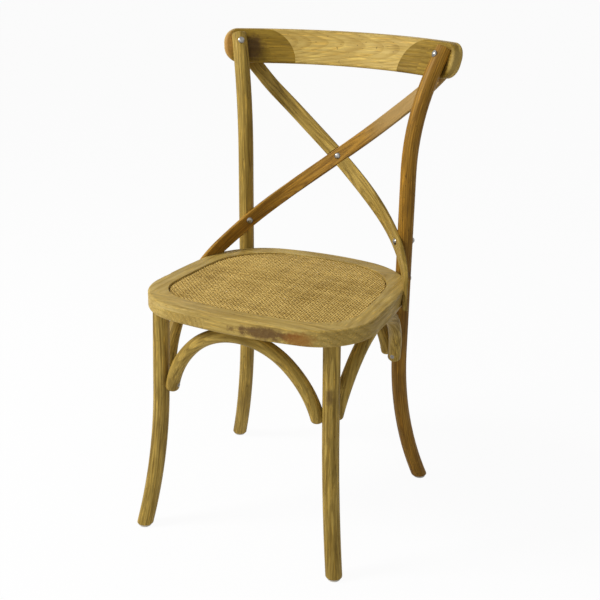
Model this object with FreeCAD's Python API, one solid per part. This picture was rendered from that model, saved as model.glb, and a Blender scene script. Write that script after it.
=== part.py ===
import FreeCAD, Part
import math
import os

# Cross back dining chair: bent round legs, a lapped seat ring with a woven panel,
# a laminated back rail and two bent strips that cross behind the sitter.
# Lengths are in millimetres, angles in degrees. +Z is up, the front faces -Y and
# +X is on the right as seen from the front. Everything is drawn about the middle of
# the seat and moved at the end, so that the middle of the whole depth is at Y = 0.

# Main levels
SEAT_TOP = 460.0
SEAT_FRAME_THICKNESS = 30.0
SEAT_FRAME_BOTTOM = SEAT_TOP - SEAT_FRAME_THICKNESS
CREST_MIDDLE_HEIGHT = 853.0
CREST_HEIGHT = 64.0
POST_TOP = CREST_MIDDLE_HEIGHT + 23.0
MIDDLE_OF_DEPTH = 53.5

# Clearances
HOLE_CLEARANCE = 0.2
JOINT_CLEARANCE = 0.3
PANEL_CLEARANCE = 1.2

# Sizes of cutting shapes: more than half of the chair, and a little past a cut face
REACH = 600.0
OVERRUN = 10.0

# Largest distance between points that count as the same place
SAME_PLACE = 0.01

# Seat ring outline, as radii of arcs that run into each other
SEAT_FRONT_Y = -205.7
SEAT_REAR_Y = 206.7
SEAT_HALF_WIDTH = 217.0
SEAT_WIDEST_Y = -87.0
SEAT_FRONT_RADIUS = 812.0
SEAT_SIDE_RADIUS = 1494.0
SEAT_REAR_RADIUS = 482.0
SEAT_FRONT_CORNER_RADIUS = 110.0
SEAT_REAR_CORNER_RADIUS = 143.0
SEAT_FRONT_BOARD_WIDTH = 40.0
SEAT_SIDE_BOARD_WIDTH = 34.5
SEAT_REAR_BOARD_WIDTH = 31.5
INNER_FRONT_CORNER_RADIUS = 75.0
INNER_REAR_CORNER_RADIUS = 127.0
SEAT_ARRIS_RADIUS = 4.0
SEAT_INNER_CHAMFER = 1.0

# Lapped corners of the ring
LAP_UPPER_THICKNESS = 10.0
LAP_LEVEL = SEAT_TOP - LAP_UPPER_THICKNESS
FRONT_SEAM_Y = -151.0
REAR_SEAM_Y = 142.0
FRONT_LAP_X = 51.0
REAR_LAP_X = 51.0

# Seat panel
LEDGE_WIDTH = 12.0
LEDGE_THICKNESS = 13.0
BOARD_THICKNESS = 9.0
PADDING_INSET = 8.0
COVER_THICKNESS = 2.0
COVER_MIDDLE_Z = 460.0
COVER_CROWN_RADIUS = 6200.0

# Legs. Each has a nearly upright straight length that leans by the given sideways steps
# per millimetre of height, and bends outwards towards the given heading.
FRONT_LEG_RADIUS = 15.0
REAR_LEG_RADIUS = 14.8
FRONT_LEG_X = 168.7
FRONT_LEG_Y = -159.3
FRONT_LEG_LEAN = (-0.022, 0.007)
FRONT_LEG_BEND_START = 277.0
FRONT_LEG_BEND_RADIUS = 1123.0
FRONT_LEG_HEADING = -52.0
REAR_LEG_X = 169.3
REAR_LEG_Y = 179.6
REAR_LEG_LEAN = (0.0015, -0.0175)
REAR_LEG_LOWER_BEND_START = 290.0
REAR_LEG_LOWER_BEND_RADIUS = 714.0
REAR_LEG_LOWER_HEADING = 43.5
REAR_LEG_UPPER_BEND_START = CREST_MIDDLE_HEIGHT - 203.0
REAR_LEG_UPPER_BEND_RADIUS = 425.0
REAR_LEG_UPPER_HEADING = 52.0
POST_TOP_ROUNDING = 2.5
FOOT_ROUNDING = 2.5
TENON_RADIUS = 9.0
TENON_LENGTH = 17.0

# Foot glides
GLIDE_RADIUS = 12.0
GLIDE_THICKNESS = 4.0
GLIDE_ROUNDING = 1.2
GLIDE_PIN_RADIUS = 2.5
GLIDE_PIN_LENGTH = 14.0

# Back rail, bent about an upright axis and leaning back. Its front face runs behind the
# posts' middle lines by the given distance.
CREST_BEHIND_POSTS = 10.2
CREST_FRONT_RADIUS = 368.5
CREST_THICKNESS = 22.0
CREST_LEAN = 15.0
CREST_HALF_ANGLE = 38.6
CREST_CORNER_RADIUS = 28.0
CREST_EDGE_RADIUS = 4.5
# Layers glued to the front of the rail's ends. Each is rounded towards the rail's middle, by
# an arc whose centre stands at an angle about the rail's axis, a little above its lower edge.
CREST_BLOCK_ANGLE = 27.2
CREST_BLOCK_THICKNESS = 12.0
CREST_END_ANGLE = 34.6
CREST_END_THICKNESS = 6.5
CREST_ARC_RADIUS = 64.0
CREST_ARC_CENTRE_RISE = 3.5

# Crossing strips. They are level at the posts, meet face to face at the crossing and lie
# on the rail's back at the top, and turn from one to the next between these heights.
# Heights above the seat are drawn for a rail that is this much higher than the seat, and
# stretch with the rail's own height.
STRIP_DRAWN_RISE = 393.0
STRIP_STRETCH = (CREST_MIDDLE_HEIGHT - SEAT_TOP) / STRIP_DRAWN_RISE
STRIP_WIDTH = 28.0
STRIP_THICKNESS = 8.5
STRIP_EDGE_RADIUS = 2.0
STRIP_CROSSING_Z = 652.5
STRIP_LOWER_END_Z = 432.0
STRIP_LAP_CLEARANCE = 0.5
STRIP_NOTCH_CLEARANCE = 0.4
STRIP_NOTCH_SECTIONS = 8
STRIP_LAP_SPACE_WIDTH = 90.0
STRIP_LAP_SPACE_DEPTH = 30.0
STRIP_FIRST_TURN_Z = (539.5, 637.5)
STRIP_SECOND_TURN_Z = (682.5, 816.0)
# Middle of the strip that rises from the seat's right side to the rail's left end
STRIP_PATH = (
    (220.5, 46.0, 420.0),
    (213.2, 63.5, 437.0),
    (202.6, 95.0, 461.0),
    (188.4, 123.5, 482.0),
    (160.5, 160.3, 515.2),
    (126.5, 188.6, 548.7),
    (87.8, 210.4, 582.1),
    (46.6, 226.9, 615.5),
    (0.0, 240.0, 652.5),
    (-37.9, 246.5, 682.4),
    (-78.8, 250.4, 715.8),
    (-118.2, 251.4, 749.2),
    (-156.4, 250.3, 782.7),
)
# Upper end against the back of the rail, as angles about the rail's axis and heights
# above the rail's middle
STRIP_TOP_PATH = (
    (-29.4, -37.0),
    (-31.5, -21.0),
    (-33.3, -4.0),
    (-34.5, 8.0),
)

# Arches under the seat, three arcs each
ARCH_RADIUS = 12.7
ARCH_TOP_BEND_RADIUS = 131.0
ARCH_TOP_HALF_ANGLE = 43.0
ARCH_SIDE_BEND_RADIUS = 188.0
ARCH_END_ANGLE = 79.2
ARCH_TOP_Z = 417.8
ARCH_END_ROUNDING = 8.0
FRONT_ARCH_END_Y = -159.3
FRONT_ARCH_TOP_Y = -176.0
REAR_ARCH_END_Y = 179.6
REAR_ARCH_TOP_Y = 193.5
SIDE_ARCH_END_X = 166.8
SIDE_ARCH_TOP_X = 185.8
SIDE_ARCH_MIDDLE_Y = 10.0

# Bolts and screws
BOLT_RADIUS = 3.0
BOLT_HEAD_RADIUS = 6.2
BOLT_HEAD_HEIGHT = 3.2
NUT_RADIUS = 5.6
NUT_HEIGHT = 5.0
NUT_WASHER_RADIUS = 7.0
NUT_WASHER_THICKNESS = 1.0
NUT_CAP_WALL = 1.5
THREAD_IN_NUT = 2.0
DOME_RIM_SHARE = 0.25
DOME_SHOULDER_RADIUS_SHARE = 0.62
DOME_SHOULDER_HEIGHT_SHARE = 0.82
SCREW_RADIUS = 2.0
SCREW_HEAD_RADIUS = 4.0
SCREW_HEAD_DEPTH = 2.4
SCREW_RECESS_WIDTH = 0.9
SCREW_RECESS_LENGTH = 4.4
SCREW_RECESS_DEPTH = 1.2
SCREW_POINT_LENGTH = 3.0
SCREW_MOUTH_DEPTH = 6.0
BOLT_SEAT_RADIUS = 7.4
BOLT_SEAT_SPACE = 12.0
THROUGH_HOLE_LENGTH = 70.0
CREST_BOLT_ANGLE = 38.0
CREST_BOLT_TILT = 20.0
CREST_BOLT_Z = CREST_MIDDLE_HEIGHT + 8.5
CREST_BOLT_HEAD_DISTANCE = REAR_LEG_RADIUS + 0.3
CREST_NUT_SINK = 1.0
CROSS_POST_BOLT_HEADING = 45.0
CROSS_POST_BOLT_Z = 519.5
SEAT_POST_BOLT_HEADING = 47.0
SEAT_POST_BOLT_Z = 444.0
SEAT_POST_BOLT_LENGTH = 44.0
POST_FLAT_DISTANCE = REAR_LEG_RADIUS - 1.3
STRIP_SCREW_HEIGHTS = (441.0, 453.0)
STRIP_SCREW_LENGTH = 26.0
ARCH_LEG_SCREW_RISE = 12.0
ARCH_LEG_SCREW_LENGTH = 34.0
ARCH_SEAT_SCREW_LENGTH = 34.0
BOARD_SCREW_LENGTH = 18.0
BOARD_SCREW_PLACES = ((90.0, -154.5), (90.0, 160.0), (176.5, -70.0), (167.0, 80.0))
SCREW_SINK = 0.4

UP = FreeCAD.Vector(0, 0, 1)


def vector(x, y, z):
    return FreeCAD.Vector(x, y, z)


def rotated(shape, axis, angle, centre=None):
    result = shape.copy()
    result.rotate(centre or vector(0, 0, 0), axis, angle)
    return result


def mirrored(shape):
    return shape.mirror(vector(0, 0, 0), vector(1, 0, 0))


def box(x0, x1, y0, y1, z0, z1):
    return Part.makeBox(x1 - x0, y1 - y0, z1 - z0, vector(x0, y0, z0))


def cylinder(radius, start, direction, length):
    return Part.makeCylinder(radius, length, start, direction)


def group(shapes):
    return Part.makeCompound(shapes)


def one_solid(shape):
    """The largest solid of a cut shape."""
    return max(shape.Solids, key=lambda solid: solid.Volume)


# Bent rods

def bent_rod(radius, start, direction, steps):
    """A round rod: straight lengths and bends, each bend a radius, an angle and an axis."""
    ring = Part.makeCircle(radius, start, direction)
    face = Part.Face(Part.Wire([ring]))
    position = vector(start.x, start.y, start.z)
    heading = vector(direction.x, direction.y, direction.z).normalize()
    lengths = []
    for step in steps:
        if step[0] == "straight":
            travel = heading * step[1]
            lengths.append(face.extrude(travel))
            face = face.translated(travel)
            position = position + travel
        else:
            bend_radius, angle, axis = step[1:]
            centre = position + axis.cross(heading).normalize() * bend_radius
            lengths.append(face.revolve(centre, axis, angle))
            face = rotated(face, axis, angle, centre)
            turn = FreeCAD.Rotation(axis, angle)
            position = centre + turn.multVec(position - centre)
            heading = turn.multVec(heading)
    rod = lengths[0]
    for length in lengths[1:]:
        rod = rod.fuse(length)
    return rod.removeSplitter()


def level_direction(heading):
    turn = math.radians(heading)
    return vector(math.cos(turn), math.sin(turn), 0)


def leg_line(front):
    """Start of a right-hand leg's floor bend and the upward direction of its straight length."""
    if front:
        start = vector(FRONT_LEG_X, FRONT_LEG_Y, FRONT_LEG_BEND_START)
        lean = FRONT_LEG_LEAN
    else:
        start = vector(REAR_LEG_X, REAR_LEG_Y, REAR_LEG_LOWER_BEND_START)
        lean = REAR_LEG_LEAN
    return start, vector(lean[0], lean[1], 1).normalize()


def straight_leg_middle(front, height):
    """Middle of a right-hand leg at one height of its straight length."""
    start, upwards = leg_line(front)
    return start + upwards * ((height - start.z) / upwards.z)


def bend_axis(heading, out):
    return heading.cross(out).normalize()


def bend_point(start, heading, radius, out, angle):
    """Middle of a rod after a bend towards a level direction."""
    axis = bend_axis(heading, out)
    centre = start + axis.cross(heading) * radius
    return centre + FreeCAD.Rotation(axis, angle).multVec(start - centre)


def bend_angle(start, heading, radius, out, height):
    """Angle at which a bend reaches one height, up or down."""
    low = 0.0
    high = 60.0
    for _ in range(40):
        middle = (low + high) / 2
        reached = bend_point(start, heading, radius, out, middle).z
        if abs(reached - start.z) < abs(height - start.z):
            low = middle
        else:
            high = middle
    return low


def floor_bend(front):
    """Start, heading, radius and direction of a right-hand leg's outward bend at the floor."""
    start, upwards = leg_line(front)
    radius = FRONT_LEG_BEND_RADIUS if front else REAR_LEG_LOWER_BEND_RADIUS
    heading = FRONT_LEG_HEADING if front else REAR_LEG_LOWER_HEADING
    return start, upwards * -1, radius, level_direction(heading)


def post_bend():
    """Start, heading, radius and direction of the right rear post's outward bend."""
    start = straight_leg_middle(False, REAR_LEG_UPPER_BEND_START)
    upwards = leg_line(False)[1]
    return start, upwards, REAR_LEG_UPPER_BEND_RADIUS, level_direction(REAR_LEG_UPPER_HEADING)


def foot_point(front):
    """Where the right-hand leg's middle line meets the underside of its foot."""
    bend = floor_bend(front)
    return bend_point(*bend, bend_angle(*bend, GLIDE_THICKNESS))


def post_middle(height):
    """Middle of the right rear post at one height of its upper bend."""
    bend = post_bend()
    return bend_point(*bend, bend_angle(*bend, height))


def rounded_foot(rod):
    """Cuts a rod level at the top of its glide and rounds the rim."""
    rod = rod.cut(box(-REACH, REACH, -REACH, REACH, -REACH, GLIDE_THICKNESS))
    rim = [edge for edge in rod.Edges
           if abs(edge.BoundBox.ZMax - GLIDE_THICKNESS) < SAME_PLACE]
    return rod.makeFillet(FOOT_ROUNDING, rim)


def front_leg_rod():
    """The right front leg without its joints, drawn downwards from the seat."""
    top = straight_leg_middle(True, SEAT_FRAME_BOTTOM + OVERRUN)
    start, heading, radius, out = floor_bend(True)
    angle = bend_angle(start, heading, radius, out, -2 * OVERRUN)
    rod = bent_rod(FRONT_LEG_RADIUS, top, heading,
                   [("straight", (top - start).Length),
                    ("bend", radius, angle, bend_axis(heading, out))])
    rod = rod.cut(box(-REACH, REACH, -REACH, REACH, SEAT_FRAME_BOTTOM, SEAT_TOP))
    return rounded_foot(rod)


def rear_leg_rod():
    """The right rear leg and back post without its joints, drawn both ways from the bend."""
    middle, upwards, radius, out = post_bend()
    angle = bend_angle(middle, upwards, radius, out, POST_TOP)
    axis = bend_axis(upwards, out)
    post = bent_rod(REAR_LEG_RADIUS, middle, upwards, [("bend", radius, angle, axis)])
    tip = FreeCAD.Rotation(axis, angle).multVec(upwards)
    top = bend_point(middle, upwards, radius, out, angle)
    rim = [edge for edge in post.Edges
           if abs((edge.CenterOfMass - top).dot(tip)) < SAME_PLACE
           and (edge.CenterOfMass - top).Length < REAR_LEG_RADIUS]
    post = post.makeFillet(POST_TOP_ROUNDING, rim)
    start, heading, radius, out = floor_bend(False)
    angle = bend_angle(start, heading, radius, out, -2 * OVERRUN)
    leg = bent_rod(REAR_LEG_RADIUS, middle, heading,
                   [("straight", (middle - start).Length),
                    ("bend", radius, angle, bend_axis(heading, out))])
    return rounded_foot(post.fuse(leg).removeSplitter())


# Seat ring

def corner_centre(first_centre, first_radius, second_centre, second_radius, corner_radius, rear):
    """Middle of a corner arc that runs into two larger arcs from inside."""
    a = first_radius - corner_radius
    b = second_radius - corner_radius
    span = second_centre - first_centre
    distance = span.Length
    along = (a ** 2 - b ** 2 + distance ** 2) / (2 * distance)
    across = math.sqrt(a ** 2 - along ** 2)
    unit = span * (1 / distance)
    side = vector(-unit.y, unit.x, 0)
    middle = first_centre + unit * along
    choices = (middle + side * across, middle - side * across)
    if rear:
        return max(choices, key=lambda point: point.y)
    return min(choices, key=lambda point: point.y)


def arc_through(centre, radius, start, end):
    """Arc from start to end, bulging away from its centre."""
    middle = (start + end) * 0.5 - centre
    top = centre + middle.normalize() * radius
    return Part.Arc(start, top, end).toShape()


def outline_face(insets, corner_radii, level):
    """Seat outline drawn smaller by front, side and rear insets, as a face at one level."""
    front_inset, side_inset, rear_inset = insets
    front_corner_radius, rear_corner_radius = corner_radii
    front_centre = vector(0, SEAT_FRONT_Y + SEAT_FRONT_RADIUS, 0)
    side_centre = vector(SEAT_HALF_WIDTH - SEAT_SIDE_RADIUS, SEAT_WIDEST_Y, 0)
    rear_centre = vector(0, SEAT_REAR_Y - SEAT_REAR_RADIUS, 0)
    front_radius = SEAT_FRONT_RADIUS - front_inset
    side_radius = SEAT_SIDE_RADIUS - side_inset
    rear_radius = SEAT_REAR_RADIUS - rear_inset
    front_corner = corner_centre(front_centre, front_radius, side_centre, side_radius,
                                 front_corner_radius, False)
    rear_corner = corner_centre(rear_centre, rear_radius, side_centre, side_radius,
                                rear_corner_radius, True)

    def tangent(big_centre, big_radius, corner):
        return big_centre + (corner - big_centre).normalize() * big_radius

    front_end = tangent(front_centre, front_radius, front_corner)
    side_start = tangent(side_centre, side_radius, front_corner)
    side_end = tangent(side_centre, side_radius, rear_corner)
    rear_start = tangent(rear_centre, rear_radius, rear_corner)

    def other_side(point):
        return vector(-point.x, point.y, 0)

    edges = [
        arc_through(front_centre, front_radius, other_side(front_end), front_end),
        arc_through(front_corner, front_corner_radius, front_end, side_start),
        arc_through(side_centre, side_radius, side_start, side_end),
        arc_through(rear_corner, rear_corner_radius, side_end, rear_start),
        arc_through(rear_centre, rear_radius, rear_start, other_side(rear_start)),
        arc_through(other_side(rear_corner), rear_corner_radius,
                    other_side(rear_start), other_side(side_end)),
        arc_through(other_side(side_centre), side_radius,
                    other_side(side_end), other_side(side_start)),
        arc_through(other_side(front_corner), front_corner_radius,
                    other_side(side_start), other_side(front_end)),
    ]
    face = Part.Face(Part.Wire(edges))
    face.translate(vector(0, 0, level))
    return face


def outer_face(level):
    return outline_face((0, 0, 0), (SEAT_FRONT_CORNER_RADIUS, SEAT_REAR_CORNER_RADIUS), level)


def inner_face(extra, level):
    """Outline of the rebate, drawn smaller by an extra distance all round."""
    insets = (SEAT_FRONT_BOARD_WIDTH + extra, SEAT_SIDE_BOARD_WIDTH + extra,
              SEAT_REAR_BOARD_WIDTH + extra)
    radii = (INNER_FRONT_CORNER_RADIUS - extra, INNER_REAR_CORNER_RADIUS - extra)
    return outline_face(insets, radii, level)


def seat_ring():
    """The whole ring with its rebate, before it is divided into boards."""
    blank = outer_face(SEAT_FRAME_BOTTOM).extrude(UP * SEAT_FRAME_THICKNESS)
    rims = [edge for edge in blank.Edges
            if edge.BoundBox.ZMax - edge.BoundBox.ZMin < SAME_PLACE]
    blank = blank.makeFillet(SEAT_ARRIS_RADIUS, rims)
    ledge_top = SEAT_FRAME_BOTTOM + LEDGE_THICKNESS
    rebate = inner_face(0, ledge_top).extrude(UP * SEAT_FRAME_THICKNESS)
    opening = inner_face(LEDGE_WIDTH, 0).extrude(UP * SEAT_TOP)
    ring = blank.cut(rebate).cut(opening)
    rim = inner_face(0, SEAT_TOP).OuterWire
    inner_rims = [edge for edge in ring.Edges
                  if edge.BoundBox.ZMin > SEAT_TOP - SAME_PLACE and on_wire(edge, rim)]
    return ring.makeChamfer(SEAT_INNER_CHAMFER, inner_rims)


def on_wire(edge, wire):
    middle = edge.valueAt((edge.FirstParameter + edge.LastParameter) / 2)
    return Part.Vertex(middle).distToShape(wire)[0] < 0.1


def lap_zone(rear):
    """Space of the front or rear board, with its short tongues over the side boards."""
    if rear:
        tongues = box(-REACH, REACH, REAR_SEAM_Y, REACH, LAP_LEVEL, SEAT_TOP + OVERRUN)
        middle = box(-REAR_LAP_X, REAR_LAP_X, REAR_SEAM_Y, REACH, 0, LAP_LEVEL)
    else:
        tongues = box(-REACH, REACH, -REACH, FRONT_SEAM_Y, LAP_LEVEL, SEAT_TOP + OVERRUN)
        middle = box(-FRONT_LAP_X, FRONT_LAP_X, -REACH, FRONT_SEAM_Y, 0, LAP_LEVEL)
    return tongues.fuse(middle).removeSplitter()


# Back rail

def crest_axis_y():
    """Place of the rail's upright axis, in front of the posts that carry the rail."""
    post = post_middle(CREST_MIDDLE_HEIGHT)
    reach = CREST_FRONT_RADIUS - CREST_BEHIND_POSTS
    return post.y - math.sqrt(reach ** 2 - post.x ** 2)


def crest_radius(radius_at_middle, height):
    return radius_at_middle + (height - CREST_MIDDLE_HEIGHT) * math.tan(math.radians(CREST_LEAN))


def crest_back_radius():
    return CREST_FRONT_RADIUS + CREST_THICKNESS / math.cos(math.radians(CREST_LEAN))


def crest_sector(front_radius, back_radius, half_angle, z0, z1):
    """Ring sector between two leaning surfaces about the rail's upright axis."""
    corners = [
        vector(0, crest_axis_y() + crest_radius(front_radius, z0), z0),
        vector(0, crest_axis_y() + crest_radius(back_radius, z0), z0),
        vector(0, crest_axis_y() + crest_radius(back_radius, z1), z1),
        vector(0, crest_axis_y() + crest_radius(front_radius, z1), z1),
    ]
    profile = Part.Face(Part.makePolygon(corners + corners[:1]))
    centre = vector(0, crest_axis_y(), 0)
    profile = rotated(profile, UP, -half_angle, centre)
    return profile.revolve(centre, UP, 2 * half_angle)


def crest_rail():
    """The whole laminated rail, before it is divided along its glue lines."""
    bottom = CREST_MIDDLE_HEIGHT - CREST_HEIGHT / 2
    top = CREST_MIDDLE_HEIGHT + CREST_HEIGHT / 2
    rail = crest_sector(CREST_FRONT_RADIUS, crest_back_radius(), CREST_HALF_ANGLE, bottom, top)
    corners = []
    for edge in rail.Edges:
        bounds = edge.BoundBox
        level = bounds.ZMax - bounds.ZMin < SAME_PLACE
        if level and edge.Length < CREST_THICKNESS * 1.2:
            corners.append(edge)
    rail = rail.makeFillet(CREST_CORNER_RADIUS, corners)
    rims = []
    for edge in rail.Edges:
        if edge_follows_crest_face(edge, CREST_FRONT_RADIUS):
            rims.append(edge)
        elif edge_follows_crest_face(edge, crest_back_radius()):
            rims.append(edge)
    return rail.makeFillet(CREST_EDGE_RADIUS, rims)


def edge_follows_crest_face(edge, radius_at_middle):
    for share in (0.1, 0.5, 0.9):
        step = edge.LastParameter - edge.FirstParameter
        point = edge.valueAt(edge.FirstParameter + share * step)
        distance = math.hypot(point.x, point.y - crest_axis_y())
        if abs(distance - crest_radius(radius_at_middle, point.z)) > 0.05:
            return False
    return True


# Crossing strips

def crest_back_point(angle, height, distance):
    """Point behind the rail's back face, or behind its downward continuation."""
    lean = math.radians(CREST_LEAN)
    radius = crest_radius(crest_back_radius(), height) + distance / math.cos(lean)
    turn = math.radians(angle)
    return vector(radius * math.sin(turn), crest_axis_y() + radius * math.cos(turn), height)


def crest_back_normal(point):
    """Direction straight out of the rail's back face beside a point."""
    lean = math.radians(CREST_LEAN)
    level = vector(point.x, point.y - crest_axis_y(), 0).normalize()
    return level * math.cos(lean) - UP * math.sin(lean)


def strip_height(drawn):
    """A drawn height of the strips, stretched with the rail's height above the seat."""
    return drawn + max(drawn - SEAT_TOP, 0) * (STRIP_STRETCH - 1)


def strip_curve():
    points = [vector(x, y, strip_height(z)) for x, y, z in STRIP_PATH]
    for angle, rise in STRIP_TOP_PATH:
        height = CREST_MIDDLE_HEIGHT + rise
        points.append(crest_back_point(angle, height, STRIP_THICKNESS / 2))
    curve = Part.BSplineCurve()
    curve.interpolate(points)
    return curve


def parameter_at_height(curve, height):
    low = curve.FirstParameter
    high = curve.LastParameter
    for _ in range(40):
        middle = (low + high) / 2
        if curve.value(middle).z < height:
            low = middle
        else:
            high = middle
    return low


def crossing_normal(curve):
    """Direction square to both strips where they cross, pointing backwards."""
    tangent = curve.tangent(parameter_at_height(curve, strip_height(STRIP_CROSSING_Z)))[0]
    return vector(0, tangent.z, -tangent.y).normalize()


def smooth_step(value, low, high):
    share = min(max((value - low) / (high - low), 0.0), 1.0)
    return share * share * (3 - 2 * share)


def strip_normal(curve, parameter):
    """Back face direction: level at the post, shared at the crossing, the rail's at the top."""
    point = curve.value(parameter)
    tangent = curve.tangent(parameter)[0]
    level = tangent.cross(UP).normalize()
    to_crossing = smooth_step(point.z, *map(strip_height, STRIP_FIRST_TURN_Z))
    to_rail = smooth_step(point.z, *map(strip_height, STRIP_SECOND_TURN_Z))
    wanted = level * (1 - to_crossing) + crossing_normal(curve) * to_crossing
    wanted = wanted * (1 - to_rail) + crest_back_normal(point) * to_rail
    return (wanted - tangent * wanted.dot(tangent)).normalize()


def strip_section(curve, parameter, width, thickness, r):
    """Section of the strip square to its run, with round corners of radius r."""
    point = curve.value(parameter)
    tangent = curve.tangent(parameter)[0]
    normal = strip_normal(curve, parameter)
    across = normal.cross(tangent).normalize()

    def at(u, v):
        return point + across * u + normal * v

    def corner(u_sign, v_sign):
        u = u_sign * (width / 2 - r)
        v = v_sign * (thickness / 2 - r)
        bevel = r * math.sqrt(0.5)
        on_side = at(u_sign * width / 2, v)
        on_face = at(u, v_sign * thickness / 2)
        middle = at(u + u_sign * bevel, v + v_sign * bevel)
        return on_side, middle, on_face

    side_a, mid_a, face_a = corner(1, 1)
    side_b, mid_b, face_b = corner(-1, 1)
    side_c, mid_c, face_c = corner(-1, -1)
    side_d, mid_d, face_d = corner(1, -1)
    return Part.Wire([
        Part.Arc(side_a, mid_a, face_a).toShape(), Part.makeLine(face_a, face_b),
        Part.Arc(face_b, mid_b, side_b).toShape(), Part.makeLine(side_b, side_c),
        Part.Arc(side_c, mid_c, face_c).toShape(), Part.makeLine(face_c, face_d),
        Part.Arc(face_d, mid_d, side_d).toShape(), Part.makeLine(side_d, side_a),
    ])


def strip_body(width, thickness, edge_radius):
    """The strip from the seat's right side to the rail's left end, before it is jointed."""
    curve = strip_curve()
    count = 2 * (len(STRIP_PATH) + len(STRIP_TOP_PATH))
    first = curve.FirstParameter
    step = (curve.LastParameter - first) / (count - 1)
    sections = [strip_section(curve, first + step * i, width, thickness, edge_radius)
                for i in range(count)]
    return Part.makeLoft(sections, True, False)


# Bolts and screws, drawn with the underside of the head at the start point

def turned(profile):
    """Solid of revolution about Z from points of a profile that starts and ends on the axis."""
    face = Part.Face(Part.Wire(profile))
    return face.revolve(vector(0, 0, 0), UP, 360)


def placed(shape, start, direction):
    moved = shape.copy()
    moved.Placement = FreeCAD.Placement(start, FreeCAD.Rotation(UP, direction))
    return moved


def dome(radius, height):
    """Domed head standing on Z = 0 and pointing down the negative side."""
    top = vector(0, 0, -height)
    rim_height = height * DOME_RIM_SHARE
    rim = vector(radius, 0, -rim_height)
    shoulder = vector(radius * DOME_SHOULDER_RADIUS_SHARE, 0,
                      -height * DOME_SHOULDER_HEIGHT_SHARE)
    return turned([
        Part.makeLine(vector(0, 0, 0), top),
        Part.Arc(top, shoulder, rim).toShape(),
        Part.makeLine(rim, vector(radius, 0, 0)),
        Part.makeLine(vector(radius, 0, 0), vector(0, 0, 0)),
    ])


def dome_bolt(start, direction, length):
    shank = cylinder(BOLT_RADIUS, vector(0, 0, 0), UP, length)
    bolt = dome(BOLT_HEAD_RADIUS, BOLT_HEAD_HEIGHT).fuse(shank).removeSplitter()
    return placed(bolt, start, direction)


def cap_nut(start, direction):
    """Washer and domed nut at the far end of a bolt, pointing back along the bolt."""
    washer = cylinder(NUT_WASHER_RADIUS, vector(0, 0, -NUT_WASHER_THICKNESS), UP,
                      NUT_WASHER_THICKNESS)
    cap = dome(NUT_RADIUS, NUT_HEIGHT)
    cap.translate(vector(0, 0, -NUT_WASHER_THICKNESS))
    socket = cylinder(BOLT_RADIUS + HOLE_CLEARANCE, vector(0, 0, NUT_CAP_WALL - NUT_HEIGHT), UP,
                      NUT_HEIGHT)
    return placed(washer.fuse(cap).cut(socket).removeSplitter(), start, direction)


def screw_shape(length):
    """Countersunk screw with its flat head at Z = 0 and its point up the positive side."""
    tip = length - SCREW_POINT_LENGTH
    body = turned([
        Part.makeLine(vector(0, 0, 0), vector(SCREW_HEAD_RADIUS, 0, 0)),
        Part.makeLine(vector(SCREW_HEAD_RADIUS, 0, 0), vector(SCREW_RADIUS, 0, SCREW_HEAD_DEPTH)),
        Part.makeLine(vector(SCREW_RADIUS, 0, SCREW_HEAD_DEPTH), vector(SCREW_RADIUS, 0, tip)),
        Part.makeLine(vector(SCREW_RADIUS, 0, tip), vector(0, 0, length)),
        Part.makeLine(vector(0, 0, length), vector(0, 0, 0)),
    ])
    return body


def screw(start, direction, length):
    body = screw_shape(length)
    half = SCREW_RECESS_WIDTH / 2
    reach = SCREW_RECESS_LENGTH / 2
    for across in (box(-reach, reach, -half, half, -OVERRUN, SCREW_RECESS_DEPTH),
                   box(-half, half, -reach, reach, -OVERRUN, SCREW_RECESS_DEPTH)):
        body = body.cut(across)
    return placed(body, start, direction)


def screw_hole(start, direction, length):
    """Room for a screw: its own shape grown by the clearance."""
    hole = cylinder(SCREW_RADIUS + HOLE_CLEARANCE, vector(0, 0, 0), UP,
                    length + JOINT_CLEARANCE)
    head = Part.makeCone(SCREW_HEAD_RADIUS + 2 * HOLE_CLEARANCE, SCREW_RADIUS + HOLE_CLEARANCE,
                         SCREW_HEAD_DEPTH + HOLE_CLEARANCE)
    mouth = cylinder(SCREW_HEAD_RADIUS + 2 * HOLE_CLEARANCE, vector(0, 0, -SCREW_MOUTH_DEPTH), UP,
                     SCREW_MOUTH_DEPTH)
    return placed(hole.fuse([head, mouth]), start, direction)


def bolt_hole(start, direction, length=THROUGH_HOLE_LENGTH):
    return cylinder(BOLT_RADIUS + HOLE_CLEARANCE, start - direction, direction, length + 1)


# Arches

def arch_side_point(angle):
    """Distance from the arch's middle and height above its feet where a side has a slope."""
    end = math.radians(ARCH_END_ANGLE)
    shoulder = math.radians(ARCH_TOP_HALF_ANGLE)
    distance = (ARCH_TOP_BEND_RADIUS * math.sin(shoulder)
                + ARCH_SIDE_BEND_RADIUS * (math.sin(angle) - math.sin(shoulder)))
    return distance, ARCH_SIDE_BEND_RADIUS * (math.cos(angle) - math.cos(end))


def arch_body():
    """Arch in the XZ plane with its feet on Z = 0, drawn from its left foot."""
    end = math.radians(ARCH_END_ANGLE)
    half_span = arch_side_point(end)[0]
    axis = vector(0, 1, 0)
    heading = vector(math.cos(end), 0, math.sin(end))
    side_angle = ARCH_END_ANGLE - ARCH_TOP_HALF_ANGLE
    rod = bent_rod(ARCH_RADIUS, vector(-half_span, 0, 0), heading,
                   [("bend", ARCH_SIDE_BEND_RADIUS, side_angle, axis),
                    ("bend", ARCH_TOP_BEND_RADIUS, 2 * ARCH_TOP_HALF_ANGLE, axis),
                    ("bend", ARCH_SIDE_BEND_RADIUS, side_angle, axis)])
    ends = [edge for edge in rod.Edges
            if abs(edge.Length - 2 * math.pi * ARCH_RADIUS) < 0.5
            and edge.CenterOfMass.z < ARCH_RADIUS]
    return rod.makeFillet(ARCH_END_ROUNDING, ends)


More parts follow.
